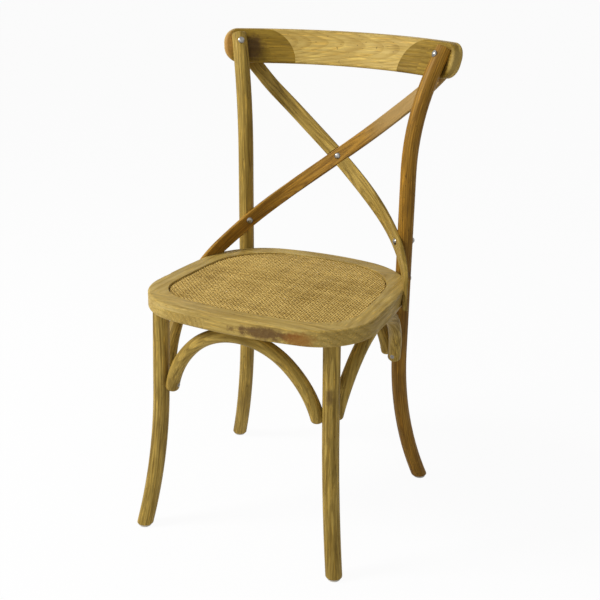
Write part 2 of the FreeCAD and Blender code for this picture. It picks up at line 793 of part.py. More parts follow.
def arch_height():
    shoulder = math.radians(ARCH_TOP_HALF_ANGLE)
    return arch_side_point(shoulder)[1] + ARCH_TOP_BEND_RADIUS * (1 - math.cos(shoulder))


def arch_placement(name):
    """Where an arch stands: leaning outwards from its feet, turned to its side of the seat."""
    settings = {
        "front": (0, 0, FRONT_ARCH_END_Y, FRONT_ARCH_END_Y - FRONT_ARCH_TOP_Y),
        "right": (90, SIDE_ARCH_END_X, SIDE_ARCH_MIDDLE_Y, SIDE_ARCH_TOP_X - SIDE_ARCH_END_X),
        "rear": (180, 0, REAR_ARCH_END_Y, REAR_ARCH_TOP_Y - REAR_ARCH_END_Y),
        "left": (-90, -SIDE_ARCH_END_X, SIDE_ARCH_MIDDLE_Y, SIDE_ARCH_TOP_X - SIDE_ARCH_END_X),
    }
    turn, x, y, offset = settings[name]
    lean = math.asin(offset / arch_height())
    rotation = FreeCAD.Rotation(UP, turn).multiply(
        FreeCAD.Rotation(vector(1, 0, 0), math.degrees(lean)))
    foot_z = ARCH_TOP_Z - arch_height() * math.cos(lean)
    return FreeCAD.Placement(vector(x, y, foot_z), rotation)


def arch_leg_screw_places(name):
    """Start and direction of the two screws from an arch's ends into the legs."""
    placement = arch_placement(name)
    slope = math.cos(math.radians(ARCH_END_ANGLE)) + ARCH_LEG_SCREW_RISE / ARCH_SIDE_BEND_RADIUS
    angle = math.acos(slope)
    x = arch_side_point(angle)[0] - ARCH_RADIUS / math.sin(angle) + SCREW_SINK
    places = []
    for side in (-1, 1):
        start = placement.multVec(vector(side * x, 0, ARCH_LEG_SCREW_RISE))
        direction = placement.Rotation.multVec(vector(side, 0, 0))
        places.append((start, direction))
    return places


def arch_seat_screw_place(name):
    """Start and direction of the screw from below through the arch's top into the ring."""
    placement = arch_placement(name)
    start = placement.multVec(vector(0, 0, arch_height() - ARCH_RADIUS + SCREW_SINK))
    return start, placement.Rotation.multVec(UP)


# Places of the bolts and screws on the right-hand side

def crest_bolt_place():
    """Start and direction of the bolt through the post, the rail and the strip behind it."""
    turn = math.radians(CREST_BOLT_ANGLE)
    tilt = math.radians(CREST_BOLT_TILT)
    direction = vector(math.sin(turn) * math.cos(tilt), math.cos(turn) * math.cos(tilt),
                       -math.sin(tilt))
    return post_middle(CREST_BOLT_Z) - direction * CREST_BOLT_HEAD_DISTANCE, direction


def crest_bolt_grip():
    """Distance from the head to the nut's flat in the back of the strip behind the rail."""
    start, direction = crest_bolt_place()
    low = 0.0
    high = THROUGH_HOLE_LENGTH
    for _ in range(40):
        middle = (low + high) / 2
        point = start + direction * middle
        wanted = crest_radius(crest_back_radius(), point.z)
        wanted = wanted + STRIP_THICKNESS / math.cos(math.radians(CREST_LEAN))
        if math.hypot(point.x, point.y - crest_axis_y()) < wanted:
            low = middle
        else:
            high = middle
    return low - CREST_NUT_SINK


def cross_post_bolt_place():
    """Start, direction and grip of the bolt through the strip's face and the post behind it."""
    heading = math.radians(CROSS_POST_BOLT_HEADING)
    direction = vector(math.cos(heading), math.sin(heading), 0)
    height = strip_height(CROSS_POST_BOLT_Z)
    post = straight_leg_middle(False, height)
    curve = strip_curve()
    strip = curve.value(parameter_at_height(curve, height))
    distance = (post - strip).dot(direction) + STRIP_THICKNESS / 2 - SCREW_SINK
    return post - direction * distance, direction, distance + POST_FLAT_DISTANCE


def seat_post_bolt_place():
    """Start and direction of the bolt from outside the post into the ring's rear corner."""
    direction = level_direction(SEAT_POST_BOLT_HEADING) * -1
    post = straight_leg_middle(False, SEAT_POST_BOLT_Z)
    return post - direction * POST_FLAT_DISTANCE, direction


def strip_seat_screw_places():
    """Starts and direction of the screws through the strip's lower end into the ring's side."""
    curve = strip_curve()
    places = []
    for height in STRIP_SCREW_HEIGHTS:
        parameter = parameter_at_height(curve, height)
        outwards = strip_normal(curve, parameter)
        start = curve.value(parameter) + outwards * (STRIP_THICKNESS / 2 - SCREW_SINK)
        places.append((start, outwards * -1))
    return places


def bolt_seat(start, direction):
    """Space over a bolt's flat, on the side of its head or its nut."""
    return cylinder(BOLT_SEAT_RADIUS, start, direction * -1, BOLT_SEAT_SPACE)


# Assembly of the cut pieces

def drilled_posts(rods, strip_room):
    """Right rear leg with its flat against the rail, its strip notch and its bolt holes."""
    bottom = CREST_MIDDLE_HEIGHT - CREST_HEIGHT / 2
    behind_rail = crest_sector(CREST_FRONT_RADIUS, CREST_FRONT_RADIUS + 4 * REAR_LEG_RADIUS,
                               CREST_HALF_ANGLE + OVERRUN, bottom, POST_TOP + OVERRUN)
    leg = rods["rear"].cut(behind_rail).cut(strip_room)
    start, direction = crest_bolt_place()
    leg = leg.cut(bolt_hole(start, direction)).cut(bolt_seat(start, direction))
    start, direction, grip = cross_post_bolt_place()
    leg = leg.cut(bolt_hole(start, direction))
    leg = leg.cut(bolt_seat(start + direction * grip, direction * -1))
    start, direction = seat_post_bolt_place()
    leg = leg.cut(bolt_hole(start, direction)).cut(bolt_seat(start, direction))
    for name in ("right", "rear"):
        for start, direction in arch_leg_screw_places(name):
            leg = leg.cut(screw_hole(start, direction, ARCH_LEG_SCREW_LENGTH))
    return one_solid(leg.cut(glide_hole(False)))


def glide_hole(front):
    return cylinder(GLIDE_PIN_RADIUS + HOLE_CLEARANCE, foot_point(front), UP,
                    GLIDE_PIN_LENGTH + JOINT_CLEARANCE)


def drilled_front_leg(rods):
    leg = rods["front"]
    seat = straight_leg_middle(True, SEAT_FRAME_BOTTOM)
    leg = leg.fuse(cylinder(TENON_RADIUS, seat, UP, TENON_LENGTH))
    for name in ("right", "front"):
        for start, direction in arch_leg_screw_places(name):
            leg = leg.cut(screw_hole(start, direction, ARCH_LEG_SCREW_LENGTH))
    return one_solid(leg.cut(glide_hole(True)))


def strip_notch():
    """Square-cornered room for the strip's lower end, open on the outside of the ring."""
    curve = strip_curve()
    first = curve.FirstParameter
    last = parameter_at_height(curve, SEAT_TOP + 2 * STRIP_WIDTH)
    half_width = STRIP_WIDTH / 2 + STRIP_NOTCH_CLEARANCE
    inner = -STRIP_THICKNESS / 2 - STRIP_NOTCH_CLEARANCE
    outer = 2 * STRIP_THICKNESS
    sections = []
    for i in range(STRIP_NOTCH_SECTIONS):
        parameter = first + (last - first) * i / (STRIP_NOTCH_SECTIONS - 1)
        tangent = curve.tangent(parameter)[0]
        outwards = strip_normal(curve, parameter)
        across = outwards.cross(tangent).normalize()
        point = curve.value(parameter)
        if i == 0:
            point = point - tangent * STRIP_WIDTH
        corners = [point + across * u + outwards * v
                   for u, v in ((half_width, inner), (half_width, outer),
                                (-half_width, outer), (-half_width, inner))]
        sections.append(Part.makePolygon(corners + corners[:1]))
    return Part.makeLoft(sections, True, False)


def jointed_ring(rods):
    """The ring with its scoops, mortises and screw holes, still in one piece."""
    ring = seat_ring()
    seat = straight_leg_middle(True, SEAT_FRAME_BOTTOM)
    mortise = cylinder(TENON_RADIUS + HOLE_CLEARANCE, seat - UP, UP,
                       TENON_LENGTH + JOINT_CLEARANCE + 1)
    start, direction = seat_post_bolt_place()
    bolt_room = bolt_hole(start, direction, SEAT_POST_BOLT_LENGTH + JOINT_CLEARANCE)
    cutters = [mortise, rods["rear"], bolt_room, strip_notch()]
    for start, direction in strip_seat_screw_places():
        cutters.append(screw_hole(start, direction, STRIP_SCREW_LENGTH))
    for x, y in BOARD_SCREW_PLACES:
        start = vector(x, y, SEAT_FRAME_BOTTOM + SCREW_SINK)
        cutters.append(screw_hole(start, UP, BOARD_SCREW_LENGTH))
    cutters = cutters + [mirrored(cutter) for cutter in cutters]
    for name in ("front", "left", "right", "rear"):
        start, direction = arch_seat_screw_place(name)
        cutters.append(screw_hole(start, direction, ARCH_SEAT_SCREW_LENGTH))
    for cutter in cutters:
        ring = ring.cut(cutter)
    return ring


def ring_boards(ring):
    front = lap_zone(False)
    rear = lap_zone(True)
    sides = ring.cut(front).cut(rear)
    right = box(0, REACH, -REACH, REACH, 0, REACH)
    left = box(-REACH, 0, -REACH, REACH, 0, REACH)
    return {
        "seat_rail_front": one_solid(ring.common(front)),
        "seat_rail_rear": one_solid(ring.common(rear)),
        "seat_rail_right": one_solid(sides.common(right)),
        "seat_rail_left": one_solid(sides.common(left)),
    }


def cover_ball(top):
    return Part.makeSphere(COVER_CROWN_RADIUS, vector(0, 0, top - COVER_CROWN_RADIUS))


def seat_panel():
    """Plywood board, foam and woven cover let into the ring's rebate."""
    board_bottom = SEAT_FRAME_BOTTOM + LEDGE_THICKNESS
    board_top = board_bottom + BOARD_THICKNESS
    board = inner_face(PANEL_CLEARANCE, board_bottom).extrude(UP * BOARD_THICKNESS)
    for x, y in BOARD_SCREW_PLACES:
        for side in (-1, 1):
            start = vector(side * x, y, SEAT_FRAME_BOTTOM + SCREW_SINK)
            board = board.cut(screw_hole(start, UP, BOARD_SCREW_LENGTH))
    rise = UP * SEAT_FRAME_THICKNESS
    under_cover = cover_ball(COVER_MIDDLE_Z - COVER_THICKNESS)
    cover = inner_face(PANEL_CLEARANCE, board_top).extrude(rise)
    cover = cover.common(cover_ball(COVER_MIDDLE_Z)).cut(under_cover)
    padding = inner_face(PADDING_INSET, board_top).extrude(rise).common(under_cover)
    return {
        "seat_board": one_solid(board),
        "seat_padding": one_solid(padding),
        "rattan_cover": one_solid(cover),
    }


def crest_pieces():
    """The rail divided along its glue lines, drilled for the bolts."""
    rail = crest_rail()
    start, direction = crest_bolt_place()
    hole = bolt_hole(start, direction)
    rail = rail.cut(hole).cut(mirrored(hole))
    blocks = block_space(CREST_BLOCK_ANGLE, CREST_BLOCK_THICKNESS)
    ends = block_space(CREST_END_ANGLE, CREST_END_THICKNESS)
    core = rail.cut(blocks).cut(mirrored(blocks))
    block = rail.common(blocks).cut(ends)
    end = rail.common(blocks).common(ends)
    return {
        "crest_core": one_solid(core),
        "crest_block_right": one_solid(block),
        "crest_block_left": mirrored(one_solid(block)),
        "crest_end_right": one_solid(end),
        "crest_end_left": mirrored(one_solid(end)),
    }, rail


def block_space(angle, thickness):
    """Space of a layer at the rail's right end: rounded towards the rail's middle."""
    turn = math.radians(angle)
    lean = math.radians(CREST_LEAN)
    bottom = CREST_MIDDLE_HEIGHT - CREST_HEIGHT / 2
    top = CREST_MIDDLE_HEIGHT + CREST_HEIGHT / 2
    reach = crest_radius(CREST_FRONT_RADIUS, bottom)
    outwards = vector(math.cos(turn), -math.sin(turn), 0)
    through = vector(math.sin(turn) * math.cos(lean), math.cos(turn) * math.cos(lean),
                     -math.sin(lean))
    upwards = outwards.cross(through)
    lower_edge = vector(reach * math.sin(turn), crest_axis_y() + reach * math.cos(turn), bottom)
    centre = lower_edge + upwards * CREST_ARC_CENTRE_RISE
    depth = 2 * CREST_ARC_RADIUS
    rounded_part = cylinder(CREST_ARC_RADIUS, centre - through * depth / 2, through, depth)
    beyond = Part.makeBox(depth, 2 * CREST_HEIGHT, depth,
                          vector(0, -CREST_HEIGHT / 2, -depth / 2))
    turned_outwards = FreeCAD.Rotation(outwards, upwards, outwards.cross(upwards), "XYZ")
    beyond.Placement = FreeCAD.Placement(centre, turned_outwards)
    in_front = crest_sector(CREST_FRONT_RADIUS - CREST_THICKNESS,
                            CREST_FRONT_RADIUS + thickness / math.cos(lean),
                            CREST_HALF_ANGLE + OVERRUN, bottom - OVERRUN, top + OVERRUN)
    return rounded_part.fuse(beyond).common(in_front)


def crossing_space(normal, front):
    """Space in front of or behind the middle of the crossing."""
    curve = strip_curve()
    point = curve.value(parameter_at_height(curve, strip_height(STRIP_CROSSING_Z)))
    half = STRIP_LAP_SPACE_WIDTH / 2
    space = box(-half, half, -half, half, 0, STRIP_LAP_SPACE_DEPTH)
    return placed(space, point, normal * -1 if front else normal)


def strip_pieces(rail):
    """Both strips: halved into each other, bearing on the rail's back and drilled."""
    body = strip_body(STRIP_WIDTH, STRIP_THICKNESS, STRIP_EDGE_RADIUS)
    room = strip_body(STRIP_WIDTH + 2 * STRIP_LAP_CLEARANCE, 2 * STRIP_THICKNESS,
                      STRIP_EDGE_RADIUS)
    curve = strip_curve()
    normal = crossing_normal(curve)
    body = body.cut(box(-REACH, REACH, -REACH, REACH, 0, STRIP_LOWER_END_Z)).cut(rail)
    start, direction = crest_bolt_place()
    nut_seat = bolt_seat(start + direction * crest_bolt_grip(), direction * -1)
    body = body.cut(mirrored(bolt_hole(start, direction).fuse(nut_seat)))
    start, direction = cross_post_bolt_place()[:2]
    body = body.cut(bolt_hole(start, direction).fuse(bolt_seat(start, direction)))
    for start, direction in strip_seat_screw_places():
        body = body.cut(screw_hole(start, direction, STRIP_SCREW_LENGTH))
    middle = curve.value(parameter_at_height(curve, strip_height(STRIP_CROSSING_Z)))
    body = body.cut(bolt_hole(middle - normal * STRIP_THICKNESS, normal))
    rear = body.cut(mirrored(room).common(crossing_space(normal, True)))
    front = mirrored(body).cut(room.common(crossing_space(normal, False)))
    return {
        "cross_strip_rear": one_solid(rear),
        "cross_strip_front": one_solid(front),
    }


def arch_pieces(rods):
    blank = arch_body()
    legs = [rods["front"], rods["rear"], mirrored(rods["front"]), mirrored(rods["rear"])]
    pieces = {}
    for name in ("front", "left", "right", "rear"):
        arch = blank.copy()
        arch.Placement = arch_placement(name)
        arch = arch.cut(box(-REACH, REACH, -REACH, REACH, SEAT_FRAME_BOTTOM, SEAT_TOP))
        for leg in legs:
            arch = arch.cut(leg)
        for start, direction in arch_leg_screw_places(name):
            arch = arch.cut(screw_hole(start, direction, ARCH_LEG_SCREW_LENGTH))
        start, direction = arch_seat_screw_place(name)
        arch = arch.cut(screw_hole(start, direction, ARCH_SEAT_SCREW_LENGTH))
        pieces["arch_" + name] = one_solid(arch)
    return pieces


def fasteners():
    """All bolts, nuts and screws, gathered in groups of the same kind."""
    start, direction = crest_bolt_place()
    grip = crest_bolt_grip()
    crest_bolt = dome_bolt(start, direction, grip + NUT_WASHER_THICKNESS + THREAD_IN_NUT)
    crest_nut = cap_nut(start + direction * grip, direction * -1)
    start, direction, grip = cross_post_bolt_place()
    post_bolt = dome_bolt(start, direction, grip + NUT_WASHER_THICKNESS + THREAD_IN_NUT)
    post_nut = cap_nut(start + direction * grip, direction * -1)
    curve = strip_curve()
    normal = crossing_normal(curve)
    middle = curve.value(parameter_at_height(curve, strip_height(STRIP_CROSSING_Z)))
    centre_bolt = dome_bolt(middle - normal * (STRIP_THICKNESS / 2), normal,
                            STRIP_THICKNESS + NUT_WASHER_THICKNESS + THREAD_IN_NUT)
    centre_nut = cap_nut(middle + normal * (STRIP_THICKNESS / 2), normal * -1)
    start, direction = seat_post_bolt_place()
    seat_bolt = dome_bolt(start, direction, SEAT_POST_BOLT_LENGTH)
    strip_screws = [screw(start, direction, STRIP_SCREW_LENGTH)
                    for start, direction in strip_seat_screw_places()]
    leg_screws = []
    seat_screws = []
    for name in ("front", "left", "right", "rear"):
        for start, direction in arch_leg_screw_places(name):
            leg_screws.append(screw(start, direction, ARCH_LEG_SCREW_LENGTH))
        start, direction = arch_seat_screw_place(name)
        seat_screws.append(screw(start, direction, ARCH_SEAT_SCREW_LENGTH))
    board_screws = [screw(vector(x, y, SEAT_FRAME_BOTTOM + SCREW_SINK), UP, BOARD_SCREW_LENGTH)
                    for x, y in BOARD_SCREW_PLACES]
    return {
        "crest_bolts": both_sides([crest_bolt]),
        "crest_nuts": both_sides([crest_nut]),
        "cross_post_bolts": both_sides([post_bolt]),
        "cross_post_nuts": both_sides([post_nut]),
        "cross_centre_bolt": centre_bolt,
        "cross_centre_nut": centre_nut,
        "seat_post_bolts": both_sides([seat_bolt]),
        "strip_seat_screws": both_sides(strip_screws),
        "arch_leg_screws": group(leg_screws),
        "arch_seat_screws": group(seat_screws),
        "seat_board_screws": both_sides(board_screws),
    }


def both_sides(shapes):
    return group(shapes + [mirrored(shape) for shape in shapes])


def glides():
    shapes = []
    for front in (True, False):
        foot = foot_point(front)
        floor = vector(foot.x, foot.y, 0)
        disc = cylinder(GLIDE_RADIUS, floor, UP, GLIDE_THICKNESS)
        rim = [edge for edge in disc.Edges if edge.BoundBox.ZMax < SAME_PLACE]
        disc = disc.makeFillet(GLIDE_ROUNDING, rim)
        pin = cylinder(GLIDE_PIN_RADIUS, floor + UP, UP, GLIDE_THICKNESS + GLIDE_PIN_LENGTH - 1)
        shapes.append(disc.fuse(pin).removeSplitter())
    return both_sides(shapes)


def build():
    rods = {"front": front_leg_rod(), "rear": rear_leg_rod()}
    pieces, rail = crest_pieces()
    pieces.update(strip_pieces(rail))
    room = strip_body(STRIP_WIDTH + 2 * JOINT_CLEARANCE, STRIP_THICKNESS, STRIP_EDGE_RADIUS)
    front_leg = drilled_front_leg(rods)
    rear_leg = drilled_posts(rods, room)
    pieces["front_leg_right"] = front_leg
    pieces["front_leg_left"] = mirrored(front_leg)
    pieces["rear_leg_right"] = rear_leg
    pieces["rear_leg_left"] = mirrored(rear_leg)
    pieces.update(ring_boards(jointed_ring(rods)))
    pieces.update(seat_panel())
    pieces.update(arch_pieces(rods))
    pieces.update(fasteners())
    pieces["foot_glides"] = glides()
    return pieces


os.makedirs("parts", exist_ok=True)
for node, shape in build().items():
    finished = shape.copy()
    finished.translate(vector(0, -MIDDLE_OF_DEPTH, 0))
    finished.exportStep("parts/" + node + ".step")
    print(node, len(finished.Solids), "solids")
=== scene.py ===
import math
import random

import bmesh
import bpy
from bpy.props import FloatProperty, FloatVectorProperty, IntProperty, PointerProperty
from mathutils import Matrix, Vector
from mathutils.bvhtree import BVHTree


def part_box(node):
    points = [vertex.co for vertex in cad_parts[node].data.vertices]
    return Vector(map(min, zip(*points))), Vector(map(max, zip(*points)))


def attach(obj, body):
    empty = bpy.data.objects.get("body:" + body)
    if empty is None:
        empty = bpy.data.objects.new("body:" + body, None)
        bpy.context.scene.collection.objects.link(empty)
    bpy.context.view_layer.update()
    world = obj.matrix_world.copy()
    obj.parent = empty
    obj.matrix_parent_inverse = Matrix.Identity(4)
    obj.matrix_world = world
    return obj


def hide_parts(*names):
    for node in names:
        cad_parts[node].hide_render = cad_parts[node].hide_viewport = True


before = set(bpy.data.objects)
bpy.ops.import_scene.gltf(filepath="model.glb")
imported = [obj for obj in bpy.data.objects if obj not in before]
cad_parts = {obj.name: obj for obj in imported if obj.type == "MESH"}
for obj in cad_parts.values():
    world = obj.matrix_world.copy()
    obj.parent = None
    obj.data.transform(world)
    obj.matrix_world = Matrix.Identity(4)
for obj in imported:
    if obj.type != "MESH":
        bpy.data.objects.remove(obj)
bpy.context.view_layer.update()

bl_info = {
    "name": "Cross Back Chair",
    "version": (1, 0, 0),
    "blender": (4, 5, 0),
    "location": "3D View > Sidebar > Chair",
    "description": "Weaves the seat and finishes the wood, steel and plastic of a cross back chair",
    "category": "Object",
}

# Lines that the solids are built on, in metres
SEAT_TOP = 0.460
SEAT_MIDDLE_Y = -0.0535
COVER_CROWN_RADIUS = 6.2
RAIL_AXIS_Y = -0.1395
RAIL_RADIUS = 0.3685
RAIL_MIDDLE_Z = 0.853
RAIL_LEAN = math.tan(math.radians(15.0))
ARCH_CENTRE_Z = 0.2868
ARCH_RADIUS = 0.131
SIDE_ARCH_MIDDLE_Y = -0.0435
STRIP_MIDDLE_Z = 0.6525
STRIP_RUN_PER_RISE = 1.5

# A crossing strip's middle line: factors of the fourth to the zeroth power of its rise
STRIP_X_CURVE = (-2.93, 5.28, -0.0465, -1.278, 0.0)
STRIP_Y_CURVE = (3.15, 2.68, -2.0, 0.284, 0.187)

# Bends of the legs: height of the start, down or up, radius and level heading in degrees
FRONT_LEG_BENDS = ((0.277, -1, 1.123, -52.0),)
REAR_LEG_BENDS = ((0.290, -1, 0.714, 43.5), (0.650, 1, 0.425, 52.0))

# Scales of the wood's patterns per metre: twice across the grain, then along it
WAVER_SCALE = (9.0, 9.0, 3.0)
PATCH_SCALE = (11.0, 11.0, 4.5)
CLOUD_SCALE = (34.0, 34.0, 13.0)
STREAK_SCALE = (190.0, 190.0, 9.0)
SPECK_SCALE = (260.0, 260.0, 120.0)
LIGHT_STREAK_SCALE = (420.0, 420.0, 26.0)
PORE_SCALE = (640.0, 640.0, 22.0)
FIBRE_SCALE = (1100.0, 1100.0, 40.0)
STAIN_AND_PAINTED_LIGHT_EDGE_SCALE = (90.0, 90.0, 90.0)

# The wood's other settings
SEED_STEP = (0.37, 0.61, 1.13)
WAVER_REACH = 0.022
TAPER_UNIT = 0.02
LIGHT_STREAK = (1.0, 0.92, 0.70)
WAX_GLOSS = 0.16
WOOD_RELIEF = 0.00018


def colour_property(name, default, description):
    return FloatVectorProperty(name=name, description=description, subtype="COLOR", size=3,
                               min=0.0, max=1.0, default=default)


def length_property(name, default, description):
    return FloatProperty(name=name, description=description, default=default, min=0.0,
                         subtype="DISTANCE", unit="LENGTH", precision=5)


class ChairWoodColours(bpy.types.PropertyGroup):
    """Waxed wood of the chair."""
    rail_light: colour_property("Rail Light", (0.60, 0.43, 0.125), "Early wood of the back rail")
    rail_dark: colour_property("Rail Dark", (0.34, 0.205, 0.035), "Late wood of the back rail")
    patch_light: colour_property("Rail End Light", (0.34, 0.215, 0.028), "Blocks at the rail's ends")
    patch_dark: colour_property("Rail End Dark", (0.165, 0.095, 0.006), "Grain of the end blocks")
    olive_light: colour_property("Olive Light", (0.50, 0.34, 0.075), "Yellow olive rods, light")
    olive_dark: colour_property("Olive Dark", (0.150, 0.088, 0.010), "Yellow olive rods, dark")
    orange_light: colour_property("Orange Light", (0.43, 0.225, 0.028), "Orange brown rods, light")
    orange_dark: colour_property("Orange Dark", (0.150, 0.066, 0.005), "Orange brown rods, dark")
    ring_light: colour_property("Seat Ring Light", (0.52, 0.37, 0.105), "Seat ring, light")
    ring_dark: colour_property("Seat Ring Dark", (0.27, 0.165, 0.028), "Seat ring, dark")
    pore: colour_property("Pores", (0.07, 0.038, 0.008), "Open pores and dirt in them")
    # Besides the stains, this colour paints the shade beside the posts and where parts meet
    stain_and_painted_shade: colour_property("Stains", (0.085, 0.042, 0.012), "Brown stains near the joints")
    plywood: colour_property("Plywood", (0.50, 0.37, 0.20), "Raw plywood under the seat")


class ChairSeatSettings(bpy.types.PropertyGroup):
    """Woven seat panel and the pad under it."""
    warp_pitch: length_property("Warp Pitch", 0.0044, "Pitch of the strands from front to rear")
    weft_pitch: length_property("Weft Pitch", 0.0044, "Pitch of the strands from side to side")
    strand_height: length_property("Strand Height", 0.0012, "Thickness of one strand")
    strand_wave: length_property("Strand Wave", 0.0007, "Rise and fall of a strand at a crossing")
    edge_gap: length_property("Edge Gap", 0.0004, "Gap between the strands' ends and the rebate")
    seed: IntProperty(name="Seed", description="Seed of the strands' small faults", default=7)
    strand_light: colour_property("Strand Light", (0.72, 0.50, 0.145), "Light strands")
    strand_dark: colour_property("Strand Dark", (0.38, 0.235, 0.048), "Dark strands")
    foam: colour_property("Foam", (0.045, 0.025, 0.008), "Pad under the weave")


class ChairFittingColours(bpy.types.PropertyGroup):
    """Bolts, screws and glides."""
    bolt: colour_property("Bolts", (0.30, 0.29, 0.27), "Bolts and cap nuts")
    screw: colour_property("Screws", (0.30, 0.28, 0.25), "Wood screws")
    glide: colour_property("Glides", (0.70, 0.67, 0.60), "Foot glides")


class Finish:
    """Nodes of one material, with short ways to add and join them."""

    def __init__(self, name):
        self.material = bpy.data.materials.new(name)
        self.material.use_nodes = True
        self.tree = self.material.node_tree
        self.tree.nodes.clear()
        self.shader = self.add("ShaderNodeBsdfPrincipled")
        output = self.add("ShaderNodeOutputMaterial")
        self.tree.links.new(self.shader.outputs[0], output.inputs[0])

    def feed(self, socket, value):
        if isinstance(value, bpy.types.NodeSocket):
            self.tree.links.new(value, socket)
        else:
            socket.default_value = value

    def add(self, kind, inputs=None, **settings):
        node = self.tree.nodes.new(kind)
        for key, value in settings.items():
            setattr(node, key, value)
        for key, value in (inputs or {}).items():
            self.feed(node.inputs[key], value)
        return node

    def place(self):
        return self.add("ShaderNodeTexCoord").outputs["Object"]

    def parts(self, vector):
        return self.add("ShaderNodeSeparateXYZ", {0: vector}).outputs[:3]

    def vector(self, x, y, z):
        return self.add("ShaderNodeCombineXYZ", {0: x, 1: y, 2: z}).outputs[0]

    def math(self, operation, first, second=0.0, third=0.0):
        node = self.add("ShaderNodeMath", {0: first, 1: second, 2: third}, operation=operation)
        return node.outputs[0]

    def vector_math(self, operation, first, second=(0, 0, 0), third=(0, 0, 0)):
        node = self.add("ShaderNodeVectorMath", {0: first, 1: second, 2: third},
                        operation=operation)
        return node.outputs["Value" if operation == "LENGTH" else "Vector"]

    def noise(self, vector, stretch, detail=2.0, roughness=0.55, output="Fac"):
        scaled = self.vector_math("MULTIPLY", vector, stretch)
        node = self.add("ShaderNodeTexNoise",
                        {"Vector": scaled, "Scale": 1.0, "Detail": detail, "Roughness": roughness})
        return node.outputs[output]

    def span(self, value, low, high, new_low=0.0, new_high=1.0):
        """Smooth share of a value between two limits."""
        node = self.add("ShaderNodeMapRange", {"Value": value, "From Min": low, "From Max": high,
                                               "To Min": new_low, "To Max": new_high},
                        interpolation_type="SMOOTHSTEP")
        return node.outputs["Result"]

    def mix(self, share, first, second, blend="MIX"):
        node = self.add("ShaderNodeMix", data_type="RGBA", blend_type=blend, clamp_factor=True)
        self.feed(node.inputs["Factor"], share)
        for socket, value in ((node.inputs[6], first), (node.inputs[7], second)):
            if not isinstance(value, bpy.types.NodeSocket):
                value = (*tuple(value)[:3], 1.0)
            self.feed(socket, value)
        return node.outputs[2]

    def surface(self, colour, roughness, height, relief, metallic=0.0):
        bump = self.add("ShaderNodeBump", {"Height": height, "Distance": relief, "Strength": 1.0})
        self.feed(self.shader.inputs["Base Color"], colour)
        self.feed(self.shader.inputs["Roughness"], roughness)
        self.feed(self.shader.inputs["Metallic"], metallic)
        self.feed(self.shader.inputs["Normal"], bump.outputs[0])
        return self.material


# Directions of the grain. Each gives the distance along the grain and two across it.

def straight_grain(axis):
    """Along the chair's width or depth."""
    def directions(finish):
        x, y, z = finish.parts(finish.place())
        return (x, y, z) if axis == "X" else (y, x, z)
    return directions


def rail_grain(finish):
    """Around the rail's upright axis."""
    x, y, z = finish.parts(finish.place())
    back = finish.math("SUBTRACT", y, RAIL_AXIS_Y)
    turn = finish.math("ARCTAN2", x, back)
    along = finish.math("MULTIPLY", turn, RAIL_RADIUS)
    flat = finish.vector_math("LENGTH", finish.vector(x, back, 0.0))
    lean = finish.math("MULTIPLY", finish.math("SUBTRACT", z, RAIL_MIDDLE_Z), RAIL_LEAN)
    depth = finish.math("SUBTRACT", finish.math("SUBTRACT", flat, RAIL_RADIUS), lean)
    return along, finish.math("SUBTRACT", z, RAIL_MIDDLE_Z), depth


def rod_grain(bends):
    """Along a bent rod, as if each bend were a parabola that starts where the bend does."""
    def directions(finish):
        x, y, z = finish.parts(finish.place())
        side = finish.math("SIGN", x)
        x = finish.math("ABSOLUTE", x)
        for start, sign, radius, heading in bends:
            past = finish.math("MULTIPLY", finish.math("SUBTRACT", z, start), sign)
            past = finish.math("MAXIMUM", past, 0.0)
            drift = finish.math("DIVIDE", finish.math("MULTIPLY", past, past), 2 * radius)
            turn = math.radians(heading)
            x = finish.math("SUBTRACT", x, finish.math("MULTIPLY", drift, math.cos(turn)))
            y = finish.math("SUBTRACT", y, finish.math("MULTIPLY", drift, math.sin(turn)))
        return z, finish.math("MULTIPLY", x, side), y
    return directions


def strip_grain(side):
    """Along a crossing strip, whose middle line is a smooth function of height."""
    def directions(finish):
        x, y, z = finish.parts(finish.place())
        rise = finish.math("SUBTRACT", z, STRIP_MIDDLE_Z)

        def curve(factors):
            value = factors[0]
            for factor in factors[1:]:
                value = finish.math("MULTIPLY_ADD", value, rise, factor)
            return value

        middle_x = curve([side * factor for factor in STRIP_X_CURVE])
        middle_y = curve(STRIP_Y_CURVE)
        return (finish.math("MULTIPLY", rise, STRIP_RUN_PER_RISE),
                finish.math("SUBTRACT", x, middle_x), finish.math("SUBTRACT", y, middle_y))
    return directions


def arch_grain(side_arch):
    """Around an arch's middle."""
    def directions(finish):
        x, y, z = finish.parts(finish.place())
        level, through = (y, x) if side_arch else (x, y)
        if side_arch:
            level = finish.math("SUBTRACT", level, SIDE_ARCH_MIDDLE_Y)
        rise = finish.math("SUBTRACT", z, ARCH_CENTRE_Z)
        along = finish.math("MULTIPLY", finish.math("ARCTAN2", level, rise), ARCH_RADIUS)
        return along, finish.vector_math("LENGTH", finish.vector(level, rise, 0.0)), through
    return directions


def spot(centre, size, strength, colour=None, rough=0.5):
    """A mark for stains, painted shade and painted light alike: its middle, three half sizes,
    strength, colour and how ragged its edge is.
    """
    return {"centre": centre, "size": size, "strength": strength, "colour": colour,
            "rough": rough}


def growth_rings(finish, wavy, seed, rings, pith, taper):
    """Share of dark late wood, on rings around the tree's middle."""
    x, y, z = finish.parts(wavy)
    from_pith = finish.vector(finish.math("SUBTRACT", x, SEED_STEP[0] * seed + pith[0]),
                              finish.math("SUBTRACT", y, SEED_STEP[1] * seed + pith[1]), 0.0)
    distance = finish.vector_math("LENGTH", from_pith)
    distance = finish.math("MULTIPLY_ADD", z, TAPER_UNIT * taper, distance)
    ring = finish.math("FRACT", finish.math("DIVIDE", distance, rings))
    return finish.math("MULTIPLY", finish.span(ring, 0.35, 0.9), finish.span(ring, 1.0, 0.93))


